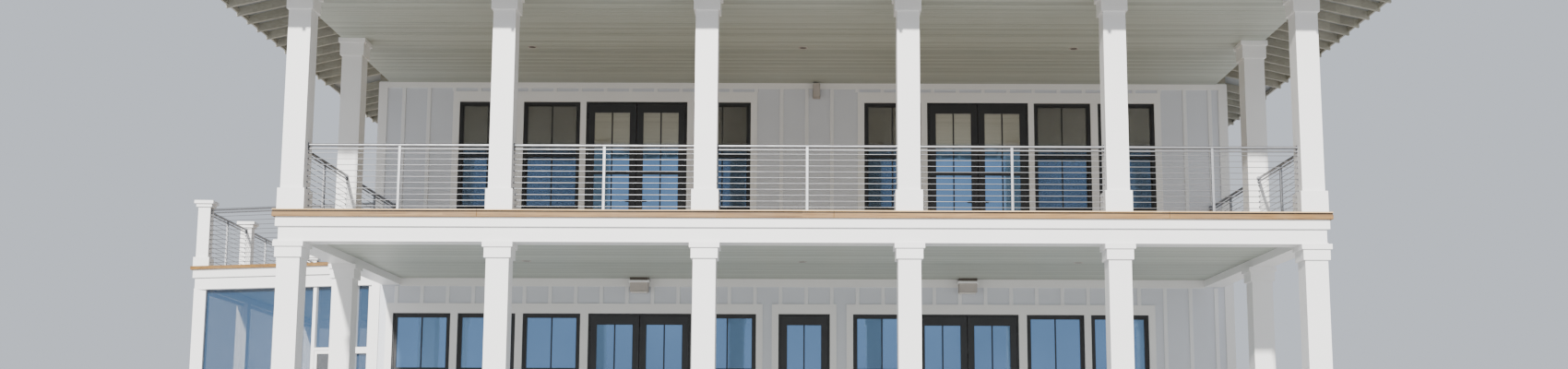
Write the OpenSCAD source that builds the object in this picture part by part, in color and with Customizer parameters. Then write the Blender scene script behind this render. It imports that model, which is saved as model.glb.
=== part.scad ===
// Two-storey timber beach house with a deep two-level front porch, a hip roof with
// open rafter tails, cable railings and a screened side wing with a roof deck.
// Millimetres, +Z up. X = 0 is the middle of the front, Y = 0 the outer face of the
// front wall, Z = 0 the ground under the slab. The front looks along -Y.

/* [Levels] */
// Top of the ground slab, the lower floor
slab_t = 150; // [100:10:250]
// Underside of the porch beams above the ground
beam_z = 3320; // [3150:10:3500]
// Depth of the porch beams below the deck boards
beam_h = 392; // [360:1:450]
// How far the lower porch ceiling sits above the beam's underside
ceiling_rise = 120; // [80:5:160]
// Thickness of the deck boards
board_t = 38; // [25:1:45]
// Height of the upper storey, from the deck to the ceiling
upper_h = 3036; // [2900:1:3300]
// Thickness of the ceiling boards
ceiling_t = 20; // [12:1:30]

/* [House] */
// Half the width of the main house over its walls
house_half_w = 7180; // [7150:5:7600]
// Depth of the enclosed house behind the front wall
house_d = 9750; // [9000:50:12000]
// Thickness of the outside walls
wall_t = 165; // [140:5:220]

/* [Porch] */
// Depth of the porch from the wall to the front faces of the columns
porch_d = 5200; // [4800:10:5600]
// Width of a square porch column
col_w = 305; // [250:5:330]
// How far the centres of the corner columns stand inside the house's sides
corner_in = 323; // [310:1:410]
// Place of the second front column, as a share of the corner column's distance
col_2_share = -0.5933; // [-0.61:0.0001:-0.58]
// Place of the third front column
col_3_share = -0.191; // [-0.2:0.0001:-0.18]
// Place of the fourth front column
col_4_share = 0.2087; // [0.2:0.0001:0.22]
// Place of the fifth front column
col_5_share = 0.6181; // [0.6:0.0001:0.63]
// How far the upper and lower plinths stand out from a column
plinth_out = 29; // [15:1:40]
// Height of a column plinth
plinth_h = 290; // [200:5:400]
// How far the crown of a capital stands out from a column
crown_out = 50; // [30:1:60]
// Height of the crown of a capital
crown_h = 70; // [40:1:90]
// How far the band below the crown stands out
band_out = 27; // [15:1:29]
// Height of the band below the crown of a lower capital
band_h = 142; // [90:1:180]
// Height of the band below the crown of an upper capital
upper_band_h = 194; // [150:1:260]

/* [Porch edge] */
// How far the wooden edge board stands out from the column faces
edge_out = 75; // [60:1:90]
// Thickness of the wooden edge board
edge_t = 60; // [40:1:64]
// Height of the wooden edge board
edge_h = 101; // [70:1:110]
// How far the upper fascia board stands out from the column faces
fascia_out = 35; // [20:1:50]
// Height of the upper fascia board
fascia_h = 127; // [90:1:150]
// Height of the lip under the beams
lip_h = 17; // [10:1:25]
// How far the lip stands out from the column faces
lip_out = 10; // [6:1:16]
// Spacing of the deck joists
joist_pitch = 406; // [300:1:610]
// Thickness of a deck joist
joist_t = 38; // [35:1:50]

/* [Railing] */
// Height of the railing's top above the deck
rail_h = 930; // [900:5:1100]
// Diameter of the top tube
top_tube_d = 40; // [30:1:50]
// Diameter of the tube under it
sub_tube_d = 25; // [18:1:30]
// Distance between the two tubes
tube_drop = 52; // [45:1:70]
// Number of cables in a panel
cables = 10; // [6:1:12]
// Spacing of the cables
cable_pitch = 80.6; // [70:0.1:90]
// Diameter of a cable
cable_d = 9; // [6:1:12]
// Height of the lowest cable above the deck
cable_foot = 76; // [40:1:100]
// Width of the slim post in the middle of a panel
slim_w = 32; // [25:1:40]

/* [Roof] */
// Overhang of the roof beyond the walls and the front columns
overhang = 800; // [600:10:900]
// Rise of the roof for each unit of run
pitch = 0.25; // [0.2:0.01:0.35]
// Thickness of the roof covering and its sheathing
roof_t = 60; // [40:1:100]
// Width of the caps along the hips and the ridge
cap_strip_w = 240; // [180:5:300]
// How far these caps stand above the roof covering
cap_rise = 30; // [20:1:40]
// Upright depth of a rafter tail at the wall
tail_h = 145; // [120:1:190]
// Upright depth of a rafter tail at its end
tail_end_h = 115; // [80:1:120]
// Thickness of a rafter tail
tail_w = 45; // [38:1:60]
// Spacing of the rafter tails
tail_pitch = 406; // [350:1:610]
// Thickness of the boards between the rafter tails
blocking_t = 40; // [30:1:45]
// Thickness of the board across the ends of the tails
eave_board_t = 28; // [20:1:40]
// Height of the board across the ends of the tails
eave_board_h = 70; // [40:1:90]

/* [Openings] */
// Height of the heads of doors and windows above each floor
head_h = 2698; // [2600:1:2780]
// Width of a window unit
win_w = 960; // [900:1:990]
// Height of a window unit
win_h = 1850; // [1700:5:1950]
// Width of a pair of glazed doors
pair_w = 1710; // [1660:1:1740]
// Width of the single door unit
single_w = 855; // [800:1:900]
// Face width of the outer frame of a window or door
frame_w = 30; // [25:1:40]
// Depth of the outer frame of a window or door
frame_d = 110; // [90:1:130]
// Face width of a window sash bar
sash_w = 42; // [35:1:50]
// Thickness of a window sash
sash_t = 38; // [30:1:42]
// Thickness of a sheet of glass
glass_t = 6; // [4:1:8]

/* [Doors] */
// Thickness of a door leaf
leaf_t = 45; // [38:1:50]
// Face width of the upright bars of a leaf
stile_w = 110; // [90:1:125]
// Face height of the top bar of a leaf
top_rail_h = 150; // [110:1:180]
// Face height of the bottom bar of a leaf
bottom_rail_h = 220; // [180:1:300]
// Height of the middle bar of a leaf above the floor
mid_rail_z = 1450; // [1200:10:1600]
// Face height of the middle bar of a leaf
mid_rail_h = 60; // [40:1:90]
// Gap between a leaf and its frame
leaf_gap = 6; // [5:1:8]
// Gap between the two leaves of a pair
meet_gap = 10; // [8:1:14]
// Diameter of a hinge knuckle
knuckle_d = 14; // [12:1:16]
// Diameter of a hinge pin
pin_d = 6; // [5:0.5:8]
// Gap between a hinge pin and its knuckle
pin_gap = 0.3; // [0.3:0.1:0.5]
// Height of the door handles above the floor
handle_z = 1000; // [900:10:1100]

/* [Trim] */
// Thickness of the boards around doors and windows
trim_t = 20; // [15:1:22]
// Width of the boards beside doors and windows
casing_w = 110; // [90:1:130]
// Height of the board over the lower openings
lower_head_h = 166; // [120:1:200]
// Height of the board over the upper openings
upper_head_h = 178; // [120:1:220]
// Height of the board under the lower porch ceiling
lower_frieze_h = 140; // [90:1:180]
// Height of the board under the upper porch ceiling
upper_frieze_h = 100; // [80:1:140]
// Width of the boards at the corners of the house
corner_w = 135; // [100:1:180]
// Height of a window sill
sill_h = 45; // [30:1:60]
// How far a window sill stands out
sill_out = 45; // [30:1:60]

/* [Wing] */
// Width of a square wing post
post_w = 203; // [150:1:230]
// How far the wing's corner post stands out from the house's side
wing_w = 3205; // [2900:5:3500]
// How far the wing's corner post stands behind the front wall
wing_y = 940; // [800:10:1040]
// Turn of the wing's front from the house front, in degrees
wing_front_turn = 13.9; // [12:0.1:15.5]
// Turn of the wing's side from the house side, in degrees
wing_side_turn = 3.3; // [1:0.1:4]
// Spacing of the wing's side posts
wing_bay = 2420; // [2200:10:2800]
// Number of bays along the wing's side
wing_bays = 3; // [2:1:3]
// How far the wing's deck lies below the porch deck
wing_drop = 30; // [20:1:45]
// Height of the wood edge of the wing's deck
wing_edge_h = 56; // [50:1:75]
// Height of the wing's railing above its deck
wing_rail_h = 1020; // [950:5:1060]
// Height of the wing's deck posts with their caps
wing_post_h = 1153; // [1120:1:1250]
// Width of the cap of a wing deck post
cap_w = 320; // [260:1:340]
// Height of each of the two steps of a cap
cap_step_h = 55; // [40:1:70]
// Width of the base of a wing deck post
wing_base_w = 267; // [230:1:290]
// Height of the base of a wing deck post
wing_base_h = 160; // [120:1:220]
// Gap that seats the deck posts and the glass of the wing
wing_fit = 0.3; // [0.1:0.1:0.5]
// Width of a bar of the wing's screens
screen_bar = 60; // [45:1:80]
// Height of the screens' upper bar above the floor
screen_bar_z = 2092; // [2000:1:2300]
// Depth of the bars of the wing's glazed front
front_bar_d = 140; // [100:5:180]
// Height of the bar over the screen door
transom_h = 45; // [35:1:70]
// Width of the glass between the screen door and the house
side_light_w = 217; // [150:1:260]
// Height of the panels under the screens
screen_foot_h = 700; // [500:10:900]
// Width of the wing's screen door
wing_door_w = 690; // [640:1:760]
// Thickness of the wing's screen door
wing_door_t = 36; // [30:1:42]
// Face width of the bars of the wing's screen door
wing_door_bar = 52; // [46:1:70]
// Thickness of a screen mesh
mesh_t = 6; // [4:1:10]

/* [Lights] */
// Width of a lantern over the double doors
lantern_w = 340; // [280:1:380]
// Height of a lantern
lantern_h = 150; // [120:1:200]
// How far a lantern stands out from the wall
lantern_out = 230; // [180:1:280]
// Width of the small lamp on the upper wall
lamp_w = 124; // [90:1:150]
// Height of the small lamp on the upper wall
lamp_h = 264; // [200:1:300]
// Diameter of a ceiling light
spot_d = 150; // [100:1:200]
// Centre of the small lamp from the centre line
lamp_x = 230; // [180:5:280]
// Height of the foot of the small lamp above the deck
lamp_foot = 2757; // [2730:1:2780]

/* [Hidden] */

// Heights worked out from the levels
floor_lo = slab_t;
beam_top = beam_z + beam_h;
deck_z = beam_top + board_t;
ceil_lo = beam_z + ceiling_rise;
ceil_up = deck_z + upper_h;
head_lo = floor_lo + head_h;
head_up = deck_z + head_h;
roof_base = ceil_up + ceiling_t;

// Porch plan
corner_x = house_half_w - corner_in;
col_face = corner_x + col_w / 2;
col_y = -porch_d + col_w / 2;
side_col_y = -porch_d / 2;
front_cols = [for (share = [-1, col_2_share, col_3_share, col_4_share, col_5_share, 1])
    round(share * corner_x)];
beam_in = col_face - col_w;
beam_back_y = -porch_d + col_w;
edge_x = col_face + edge_out;
edge_y = -porch_d - edge_out;
edge_z = deck_z - edge_h;

// Centres of the front's openings, as shares of the house's half width
function along(shares) = [for (share = shares) round(share * house_half_w)];
lower_wins = along([-0.882, -0.7318, -0.5811, -0.1738, 0.1847, 0.587, 0.7361]);
upper_wins = along([-0.7432, -0.5918, -0.1897, 0.2117, 0.6117, 0.7624]);
lower_pairs = along([-0.3766, 0.3823]);
upper_pairs = along([-0.3916, 0.4121]);
single_x = round(0.0045 * house_half_w);

// Centres of the sides' and the back's openings
side_wins = [for (share = [0.225, 0.5, 0.775]) share * house_d];
back_wins = along([-0.738, -0.585, -0.0753, 0.0753, 0.585, 0.738]);

white = [0.93, 0.93, 0.92];
black = [0.12, 0.12, 0.13];
wood = [0.74, 0.57, 0.38];
steel = [0.62, 0.64, 0.66];
olive = [0.42, 0.41, 0.34];
grey = [0.55, 0.55, 0.54];
clear = [0.45, 0.6, 0.75];

// A box from its lowest to its highest corner
module span(a, b) {
    translate(a) cube(b - a);
}

// Ground
module foundation() {
    off = edge_out + post_w / 2;
    color(grey) linear_extrude(slab_t) polygon([
        [-edge_x, edge_y], [edge_x, edge_y], [edge_x, 0], [house_half_w, 0],
        [house_half_w, house_d], [-house_half_w, house_d],
        [-house_half_w, wing_back_y + off], wing_b(off), wing_q(off),
        [-edge_x, wing_front_at(-edge_x, off)]
    ]);
}

// A rectangle in the plane of a wall: centre x, foot z, width, height
module pane(x, z, w, h) {
    translate([x - w / 2, z]) square([w, h]);
}

// A flat outline in the X-Z plane, made thick from y0 towards +Y
module upright(y0, t) {
    translate([0, y0 + t, 0]) rotate([90, 0, 0]) linear_extrude(t) children();
}

// Openings of a storey's front wall as flat shapes
module front_openings(wins, pairs, floor_z) {
    for (x = wins) pane(x, floor_z + head_h - win_h, win_w, win_h);
    for (x = pairs) pane(x, floor_z, pair_w, head_h);
}

// A stretch of the lower front wall beside the doors
module front_wall_piece(x0, x1) {
    color(white) upright(0, wall_t) difference() {
        translate([x0, floor_lo]) square([x1 - x0, head_h]);
        for (x = lower_wins) pane(x, head_lo - win_h, win_w, win_h + 1);
    }
}

left_pair_l = lower_pairs[0] - pair_w / 2;
left_pair_r = lower_pairs[0] + pair_w / 2;
right_pair_l = lower_pairs[1] - pair_w / 2;
right_pair_r = lower_pairs[1] + pair_w / 2;
single_l = single_x - single_w / 2;
single_r = single_x + single_w / 2;

module front_wall_left() { front_wall_piece(-house_half_w, left_pair_l); }
module front_wall_mid_left() { front_wall_piece(left_pair_r, single_l); }
module front_wall_mid_right() { front_wall_piece(single_r, right_pair_l); }
module front_wall_right() { front_wall_piece(right_pair_r, house_half_w); }

module front_wall_over_doors() {
    color(white) span([-house_half_w, 0, head_lo], [house_half_w, wall_t, deck_z]);
}

module upper_front_wall() {
    color(white) upright(0, wall_t) difference() {
        translate([-house_half_w, deck_z]) square([2 * house_half_w, upper_h]);
        front_openings(upper_wins, upper_pairs, deck_z);
    }
}

// A side wall of one storey: side is -1 on the left and 1 on the right
module side_wall(side, z0, h, floor_z) {
    x0 = side < 0 ? -house_half_w : house_half_w - wall_t;
    color(white) translate([x0, 0, 0]) rotate([90, 0, 90]) linear_extrude(wall_t)
        difference() {
            translate([wall_t, z0]) square([house_d - 2 * wall_t, h]);
            for (y = side_wins) pane(y, floor_z + head_h - win_h, win_w, win_h);
        }
}

module back_wall(z0, h, floor_z) {
    color(white) upright(house_d - wall_t, wall_t) difference() {
        translate([-house_half_w, z0]) square([2 * house_half_w, h]);
        for (x = back_wins) pane(x, floor_z + head_h - win_h, win_w, win_h);
    }
}

lower_h = deck_z - floor_lo;
module lower_side_walls() {
    for (s = [-1, 1]) side_wall(s, floor_lo, lower_h, floor_lo);
}
module lower_back_wall() { back_wall(floor_lo, lower_h, floor_lo); }
module upper_side_walls() {
    for (s = [-1, 1]) side_wall(s, deck_z, upper_h, deck_z);
}
module upper_back_wall() { back_wall(deck_z, upper_h, deck_z); }

module upper_floor() {
    color(wood) span([-house_half_w + wall_t, wall_t, ceil_lo],
                     [house_half_w - wall_t, house_d - wall_t, deck_z]);
}

module upper_ceiling() {
    color(olive) translate([0, 0, ceil_up]) linear_extrude(ceiling_t) union() {
        translate([-col_face, -porch_d]) square([2 * col_face, porch_d]);
        translate([-house_half_w, 0]) square([2 * house_half_w, house_d]);
    }
}

// Roof: both layers are the meeting of a long and a cross gable
eave_x = house_half_w + overhang;
eave_front_y = -porch_d - overhang;
eave_back_y = house_d + overhang;
eave_mid_y = (eave_front_y + eave_back_y) / 2;
eave_half_d = (eave_back_y - eave_front_y) / 2;
sheath_z = ceil_up + tail_h;
eave_z = sheath_z - pitch * overhang;

// A gable outline of half width w whose eave stands at z, down to foot
module gable(w, z, foot) {
    polygon([[-w, foot], [w, foot], [w, z], [0, z + pitch * w], [-w, z]]);
}

module hip_block(grow, z, foot) {
    w = eave_x + grow;
    d = eave_half_d + grow;
    intersection() {
        translate([0, eave_mid_y + d, 0]) rotate([90, 0, 0])
            linear_extrude(2 * d) gable(w, z, foot);
        translate([-w, eave_mid_y, 0]) rotate([90, 0, 90])
            linear_extrude(2 * w) gable(d, z, foot);
    }
}

// Caps in plan: along the ridge, which runs front to back, and down the four hips
ridge_half = eave_half_d - eave_x;
module cap_plan() {
    w = cap_strip_w / 2;
    translate([0, eave_mid_y]) {
        square([2 * w, 2 * (ridge_half + w)], center = true);
        for (side = [-1, 1], end = [-1, 1])
            translate([0, end * ridge_half]) rotate(end * (90 - side * 45))
                translate([0, -w]) square([2 * eave_x, 2 * w]);
    }
}

trim_reach = 10;
module roof() {
    foot = eave_z - trim_reach;
    color(grey) difference() {
        union() {
            hip_block(0, eave_z + roof_t, foot);
            intersection() {
                hip_block(0, eave_z + roof_t + cap_rise, foot);
                translate([0, 0, foot - trim_reach]) linear_extrude(eave_x) cap_plan();
            }
        }
        hip_block(trim_reach, eave_z - pitch * trim_reach, foot - trim_reach);
    }
}

// Rafter tails run out from a wall line at u = 0 to the eave at u = overhang. They are
// level over the crowns of the columns and then taper towards the eave.
tail_fall = (ceil_up - eave_z + tail_end_h) / (overhang - crown_out);
function tail_foot(u) = ceil_up - tail_fall * (u - crown_out);
function tail_top(u) = sheath_z - pitch * u;
function tail_start_points(u0) =
    u0 < porch_u ? [[u0, tail_foot(porch_u)], [porch_u, tail_foot(porch_u)]]
    : u0 < 0 ? [[u0, roof_base], [0, roof_base], [0, ceil_up], [crown_out, ceil_up]]
    : [[u0, tail_foot(u0)]];

module tail_outline(u0, u1) {
    polygon(concat(tail_start_points(u0),
                   [[u1, tail_foot(u1)], [u1, tail_top(u1)], [u0, tail_top(u0)]]));
}

// One tail standing on the u-z plane, centred on its thickness
module tail(u0, u1) {
    rotate([90, 0, 0]) translate([0, 0, -tail_w / 2]) linear_extrude(tail_w)
        tail_outline(u0, u1);
}

// The hip tail runs along the diagonal, a touch lower so that its edges meet the roof,
// and stops a little short of the boards across the ends of the other tails
hip_drop = pitch * tail_w / 2 / sqrt(2);
hip_short = 2;
module hip_tail(u0) {
    s = sqrt(2);
    u1 = overhang - eave_board_t - (tail_w / 2 + hip_short) / s;
    rotate([90, 0, 0]) translate([0, 0, -tail_w / 2]) linear_extrude(tail_w)
        polygon([[u0 * s, tail_foot(u0)], [u1 * s, tail_foot(u1)],
                 [u1 * s, tail_top(u1) - hip_drop], [u0 * s, tail_top(u0) - hip_drop]]);
}

// A board across the ends of the tails, mitred at both ends, from corner a to corner b
module eave_board(a, b, in_a, in_b) {
    translate([0, 0, eave_z - eave_board_h]) linear_extrude(eave_board_h)
        polygon([a, b, b + eave_board_t * in_b, a + eave_board_t * in_a]);
}

porch_u = col_face - house_half_w;
hip_clear = tail_w / 2 * (1 + sqrt(2)) + 1;
seat = 8;

// Start of a tail that stands a distance past the corner: a jack meets the hip tail
function tail_start(past, u0) = past > hip_clear ? past + hip_clear : u0;
function tail_fits(past) = abs(past) > hip_clear && past < overhang - 2 * tail_w;

// Blocking boards and tails of the front or back eave, drawn for an eave towards +u
module cross_eave() {
    half = house_half_w;
    n = floor((eave_x - tail_w) / tail_pitch);
    for (k = [-n:n], x = k * tail_pitch, past = abs(x) - half)
        if (tail_fits(past))
            translate([x, 0, 0]) rotate([0, 0, 90]) tail(tail_start(past, -seat), overhang);
}

module eave_front() {
    color(olive) eave_board([-eave_x, eave_front_y], [eave_x, eave_front_y], [1, 1], [-1, 1]);
    color(olive) translate([0, -porch_d, 0]) mirror([0, 1, 0]) {
        cross_eave();
        span([-col_face, -blocking_t, roof_base], [col_face, 0, tail_top(0)]);
        for (s = [-1, 1]) translate([s * house_half_w, 0, 0])
            mirror([s < 0 ? 1 : 0, 0, 0]) rotate([0, 0, 45]) hip_tail(porch_u + hip_clear);
    }
}

module eave_back() {
    color(olive) eave_board([eave_x, eave_back_y], [-eave_x, eave_back_y], [-1, -1], [1, -1]);
    color(olive) translate([0, house_d, 0]) {
        cross_eave();
        span([-house_half_w, -blocking_t, roof_base], [house_half_w, 0, tail_top(0)]);
        for (s = [-1, 1]) translate([s * house_half_w, 0, 0])
            mirror([s < 0 ? 1 : 0, 0, 0]) rotate([0, 0, 45]) hip_tail(hip_clear / 2);
    }
}

module side_eave() {
    eave_board([eave_x, eave_front_y], [eave_x, eave_back_y], [-1, 1], [-1, -1]);
    first = beam_back_y;
    n_front = floor((first - eave_front_y) / tail_pitch);
    n_back = floor((eave_back_y - first) / tail_pitch);
    for (k = [-n_front:n_back], y = first + k * tail_pitch) {
        past_front = -porch_d - y;
        past_back = y - house_d;
        past = max(past_front, past_back);
        u0 = y < 0 ? porch_u - seat : -seat;
        if (tail_fits(past) && abs(y) > tail_w)
            translate([house_half_w, y, 0]) tail(tail_start(past, u0), overhang);
    }
    intersection() {
        span([col_face - blocking_t, -porch_d + blocking_t, roof_base],
             [col_face, 0, tail_top(porch_u)]);
        hip_block(0, eave_z, 0);
    }
    span([house_half_w - blocking_t, 0, roof_base],
         [house_half_w, house_d - blocking_t, tail_top(0)]);
    span([col_face - blocking_t, 0, roof_base],
         [house_half_w, blocking_t, tail_top(0)]);
}

module eave_left() { color(olive) mirror([1, 0, 0]) side_eave(); }
module eave_right() { color(olive) side_eave(); }

// Porch beams: each layer is a height and how far it stands out from the columns
beam_layers = [
    [beam_z, beam_z + lip_h, lip_out],
    [beam_z + lip_h, edge_z - fascia_h, 0],
    [edge_z - fascia_h, edge_z, fascia_out],
    [edge_z, beam_top, edge_out - edge_t]
];

module porch_beam_front() {
    color(white) for (l = beam_layers)
        span([-col_face - l[2], -porch_d - l[2], l[0]],
             [col_face + l[2], beam_back_y, l[1]]);
}

module side_beam() {
    for (l = beam_layers)
        span([beam_in, beam_back_y, l[0]], [col_face + l[2], 0, l[1]]);
}

module porch_beam_sides() {
    color(white) for (s = [0, 1]) mirror([s, 0, 0]) side_beam();
}

module deck_joists() {
    n = floor(beam_in / joist_pitch);
    color(wood) for (k = [-n:n], x = k * joist_pitch)
        span([x - joist_t / 2, beam_back_y, ceil_lo + ceiling_t],
             [x + joist_t / 2, 0, beam_top]);
}

edge_in_x = edge_x - edge_t;
edge_in_y = edge_y + edge_t;
module deck_boards() {
    color(wood) span([-edge_in_x, edge_in_y, beam_top], [edge_in_x, 0, deck_z]);
}

module deck_edge() {
    color(wood) {
        span([-edge_x, edge_y, edge_z], [edge_x, edge_in_y, deck_z]);
        for (x = [-edge_x, edge_in_x])
            span([x, edge_in_y, edge_z], [x + edge_t, 0, deck_z]);
    }
}

module lower_ceiling() {
    color(olive) span([-beam_in, beam_back_y, ceil_lo], [beam_in, 0, ceil_lo + ceiling_t]);
}

// A square shaft with a plinth, a band and a crown, from z0 to z1
module column(z0, z1, band) {
    block(col_w, z0, z1);
    block(col_w + 2 * plinth_out, z0, z0 + plinth_h);
    block(col_w + 2 * band_out, z1 - crown_h - band, z1);
    block(col_w + 2 * crown_out, z1 - crown_h, z1);
}

module block(w, z0, z1) {
    translate([-w / 2, -w / 2, z0]) cube([w, w, z1 - z0]);
}

module porch_columns(z0, z1, band) {
    for (x = front_cols) translate([x, col_y, 0]) column(z0, z1, band);
    for (x = [-corner_x, corner_x]) translate([x, side_col_y, 0]) column(z0, z1, band);
}

module lower_columns() { color(white) porch_columns(floor_lo, beam_z, band_h); }
module upper_columns() { color(white) porch_columns(deck_z, ceil_up, upper_band_h); }

// A railing panel along +X from a to b, standing on the deck at z. Bars below the
// foot height of a plinth start and stop at the plinth's faces.
module rail_panel(a, b, z, in_a = 0, in_b = 0, foot = 0, h = rail_h, n = cables) {
    mid = (a + b) / 2;
    module bar(d, up) {
        a1 = up < foot ? a + in_a : a;
        b1 = up < foot ? b - in_b : b;
        translate([a1, 0, z + up]) rotate([0, 90, 0])
            cylinder(d = d, h = b1 - a1, $fn = 24);
    }
    bar(top_tube_d, h - top_tube_d / 2);
    bar(sub_tube_d, h - top_tube_d / 2 - tube_drop);
    for (k = [0:n - 1]) bar(cable_d, cable_foot + k * cable_pitch);
    translate([mid - slim_w / 2, -slim_w / 2, z])
        cube([slim_w, slim_w, h - top_tube_d / 2]);
}

module front_railing() {
    color(steel) translate([0, col_y, 0]) for (k = [0:len(front_cols) - 2])
        rail_panel(front_cols[k] + col_w / 2, front_cols[k + 1] - col_w / 2, deck_z,
                   plinth_out, plinth_out, plinth_h);
}

module side_railing() {
    translate([corner_x, 0, 0]) rotate([0, 0, 90]) {
        rail_panel(col_y + col_w / 2, side_col_y - col_w / 2, deck_z,
                   plinth_out, plinth_out, plinth_h);
        rail_panel(side_col_y + col_w / 2, 0, deck_z, plinth_out, 0, plinth_h);
    }
}

module side_railings() {
    color(steel) for (s = [0, 1]) mirror([s, 0, 0]) side_railing();
}

// Trim boards of the front wall
module trim_outline(wins, pairs, floor_z, head) {
    sill_z = floor_z + head_h - win_h;
    for (x = wins) pane(x, sill_z, win_w + 2 * casing_w, win_h + head);
    for (x = pairs) pane(x, floor_z, pair_w + 2 * casing_w, head_h + head);
}

module front_trim() {
    top_lo = ceil_lo - lower_frieze_h;
    top_up = ceil_up - upper_frieze_h;
    color(white) {
        upright(-trim_t, trim_t) difference() {
            union() {
                trim_outline(lower_wins, lower_pairs, floor_lo, lower_head_h);
                pane(single_x, floor_lo, single_w + 2 * casing_w, head_h + lower_head_h);
                translate([-beam_in, top_lo]) square([2 * beam_in, lower_frieze_h]);
                for (x = [-house_half_w, house_half_w - corner_w])
                    translate([x, floor_lo]) square([corner_w, edge_z - floor_lo]);
            }
            front_openings(lower_wins, lower_pairs, floor_lo);
            pane(single_x, floor_lo, single_w, head_h);
        }
        upright(-trim_t, trim_t) difference() {
            union() {
                trim_outline(upper_wins, upper_pairs, deck_z, upper_head_h);
                translate([-house_half_w, top_up])
                    square([2 * house_half_w, upper_frieze_h]);
                for (x = [-house_half_w, house_half_w - corner_w])
                    translate([x, deck_z]) square([corner_w, upper_h]);
            }
            front_openings(upper_wins, upper_pairs, deck_z);
        }
        for (x = lower_wins) sill(x, floor_lo);
        for (x = upper_wins) sill(x, deck_z);
    }
}

module sill(x, floor_z) {
    z = floor_z + head_h - win_h;
    span([x - win_w / 2 - casing_w / 2, -sill_out, z - sill_h],
         [x + win_w / 2 + casing_w / 2, 0, z]);
}

// Trim of the sides and the back: one board frame around each window
module wall_trim(places, floor_z) {
    sill_z = floor_z + head_h - win_h;
    for (p = places) difference() {
        pane(p, sill_z - casing_w, win_w + 2 * casing_w, win_h + 2 * casing_w);
        pane(p, sill_z, win_w, win_h);
    }
}

module house_trim() {
    color(white) {
        upright(house_d, trim_t) {
            wall_trim(back_wins, floor_lo);
            wall_trim(back_wins, deck_z);
            for (x = [-house_half_w, house_half_w - corner_w])
                translate([x, floor_lo]) square([corner_w, ceil_up - floor_lo]);
        }
        for (s = [-1, 1]) translate([s < 0 ? -house_half_w - trim_t : house_half_w, 0, 0])
            rotate([90, 0, 90]) linear_extrude(trim_t) {
                if (s > 0) wall_trim(side_wins, floor_lo);
                wall_trim(side_wins, deck_z);
                for (y = [0, house_d - corner_w])
                    translate([y, s > 0 ? floor_lo : wing_deck_z])
                        square([corner_w, ceil_up - (s > 0 ? floor_lo : wing_deck_z)]);
            }
    }
}

// A double-hung window in its opening: foot at z, outer face towards -Y at y = 0
module window(z) {
    mid = z + win_h / 2;
    difference() {
        translate([-win_w / 2, sash_in, z]) cube([win_w, frame_d, win_h]);
        translate([-win_w / 2 + frame_w, 0, z + frame_w])
            cube([win_w - 2 * frame_w, wall_t, win_h - 2 * frame_w]);
    }
    sash(sash_in + sash_in, mid - sash_w / 2, z + win_h - frame_w);
    sash(sash_in + sash_in + sash_t, z + frame_w, mid + sash_w / 2);
}

sash_in = 15;
pane_w = win_w - 2 * frame_w - 2 * sash_w;

module sash(y, z0, z1) {
    difference() {
        span([-win_w / 2 + frame_w, y, z0], [win_w / 2 - frame_w, y + sash_t, z1]);
        span([-pane_w / 2, y - 1, z0 + sash_w], [pane_w / 2, y + sash_t + 1, z1 - sash_w]);
    }
}

// The two sheets of glass of a window
module panes(z) {
    mid = z + win_h / 2;
    y1 = 2 * sash_in + (sash_t - glass_t) / 2;
    span([-pane_w / 2, y1, mid + sash_w / 2],
         [pane_w / 2, y1 + glass_t, z + win_h - frame_w - sash_w]);
    span([-pane_w / 2, y1 + sash_t, z + frame_w + sash_w],
         [pane_w / 2, y1 + sash_t + glass_t, mid - sash_w / 2]);
}

module at_front() {
    for (x = lower_wins) translate([x, 0, 0]) place(floor_lo) children();
    for (x = upper_wins) translate([x, 0, 0]) place(deck_z) children();
}

module at_house() {
    for (z = [floor_lo, deck_z]) {
        for (x = back_wins) translate([x, house_d, 0]) rotate([0, 0, 180])
            place(z) children();
        for (y = side_wins) {
            translate([house_half_w, y, 0]) rotate([0, 0, 90]) place(z) children();
            translate([-house_half_w, y, 0]) rotate([0, 0, -90]) place(z) children();
        }
    }
}

module place(floor_z) {
    translate([0, 0, floor_z + head_h - win_h]) children();
}

module front_windows() { color(black) at_front() window(0); }
module house_windows() { color(black) at_house() window(0); }
module window_glass() {
    color(clear) {
        at_front() panes(0);
        at_house() panes(0);
        for (x = upper_pairs) translate([x, 0, deck_z]) for (s = [-1, 1])
            leaf_glass(s, pair_leaf_w, meet_gap / 2);
    }
}

// Doors: a leaf hangs on its outer edge, flush with the trim, and swings outwards
leaf_foot = 12;
leaf_h = head_h - frame_w - leaf_gap - leaf_foot;
pair_leaf_w = (pair_w - 2 * frame_w - 2 * leaf_gap - meet_gap) / 2;
single_leaf_w = single_w - 2 * frame_w - 2 * leaf_gap;
leaf_face = -trim_t;

// A leaf to the left (s = -1) or right (s = 1) of x = inner, in front of the floor z = 0
module leaf(s, w, inner) {
    mirror([s < 0 ? 1 : 0, 0, 0]) translate([inner, 0, 0]) {
        difference() {
            span([0, leaf_face, leaf_foot], [w, leaf_face + leaf_t, leaf_foot + leaf_h]);
            span([stile_w, leaf_face - 1, bottom_rail_h + leaf_foot],
                 [w - stile_w, leaf_t, mid_rail_z]);
            span([stile_w, leaf_face - 1, mid_rail_z + mid_rail_h],
                 [w - stile_w, leaf_t, leaf_foot + leaf_h - top_rail_h]);
        }
        at_hinges(w + leaf_gap / 2, leaf_face, head_h) mirror([1, 0, 0]) leaf_hinge();
        handle(stile_w / 2, leaf_face);
    }
}

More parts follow.
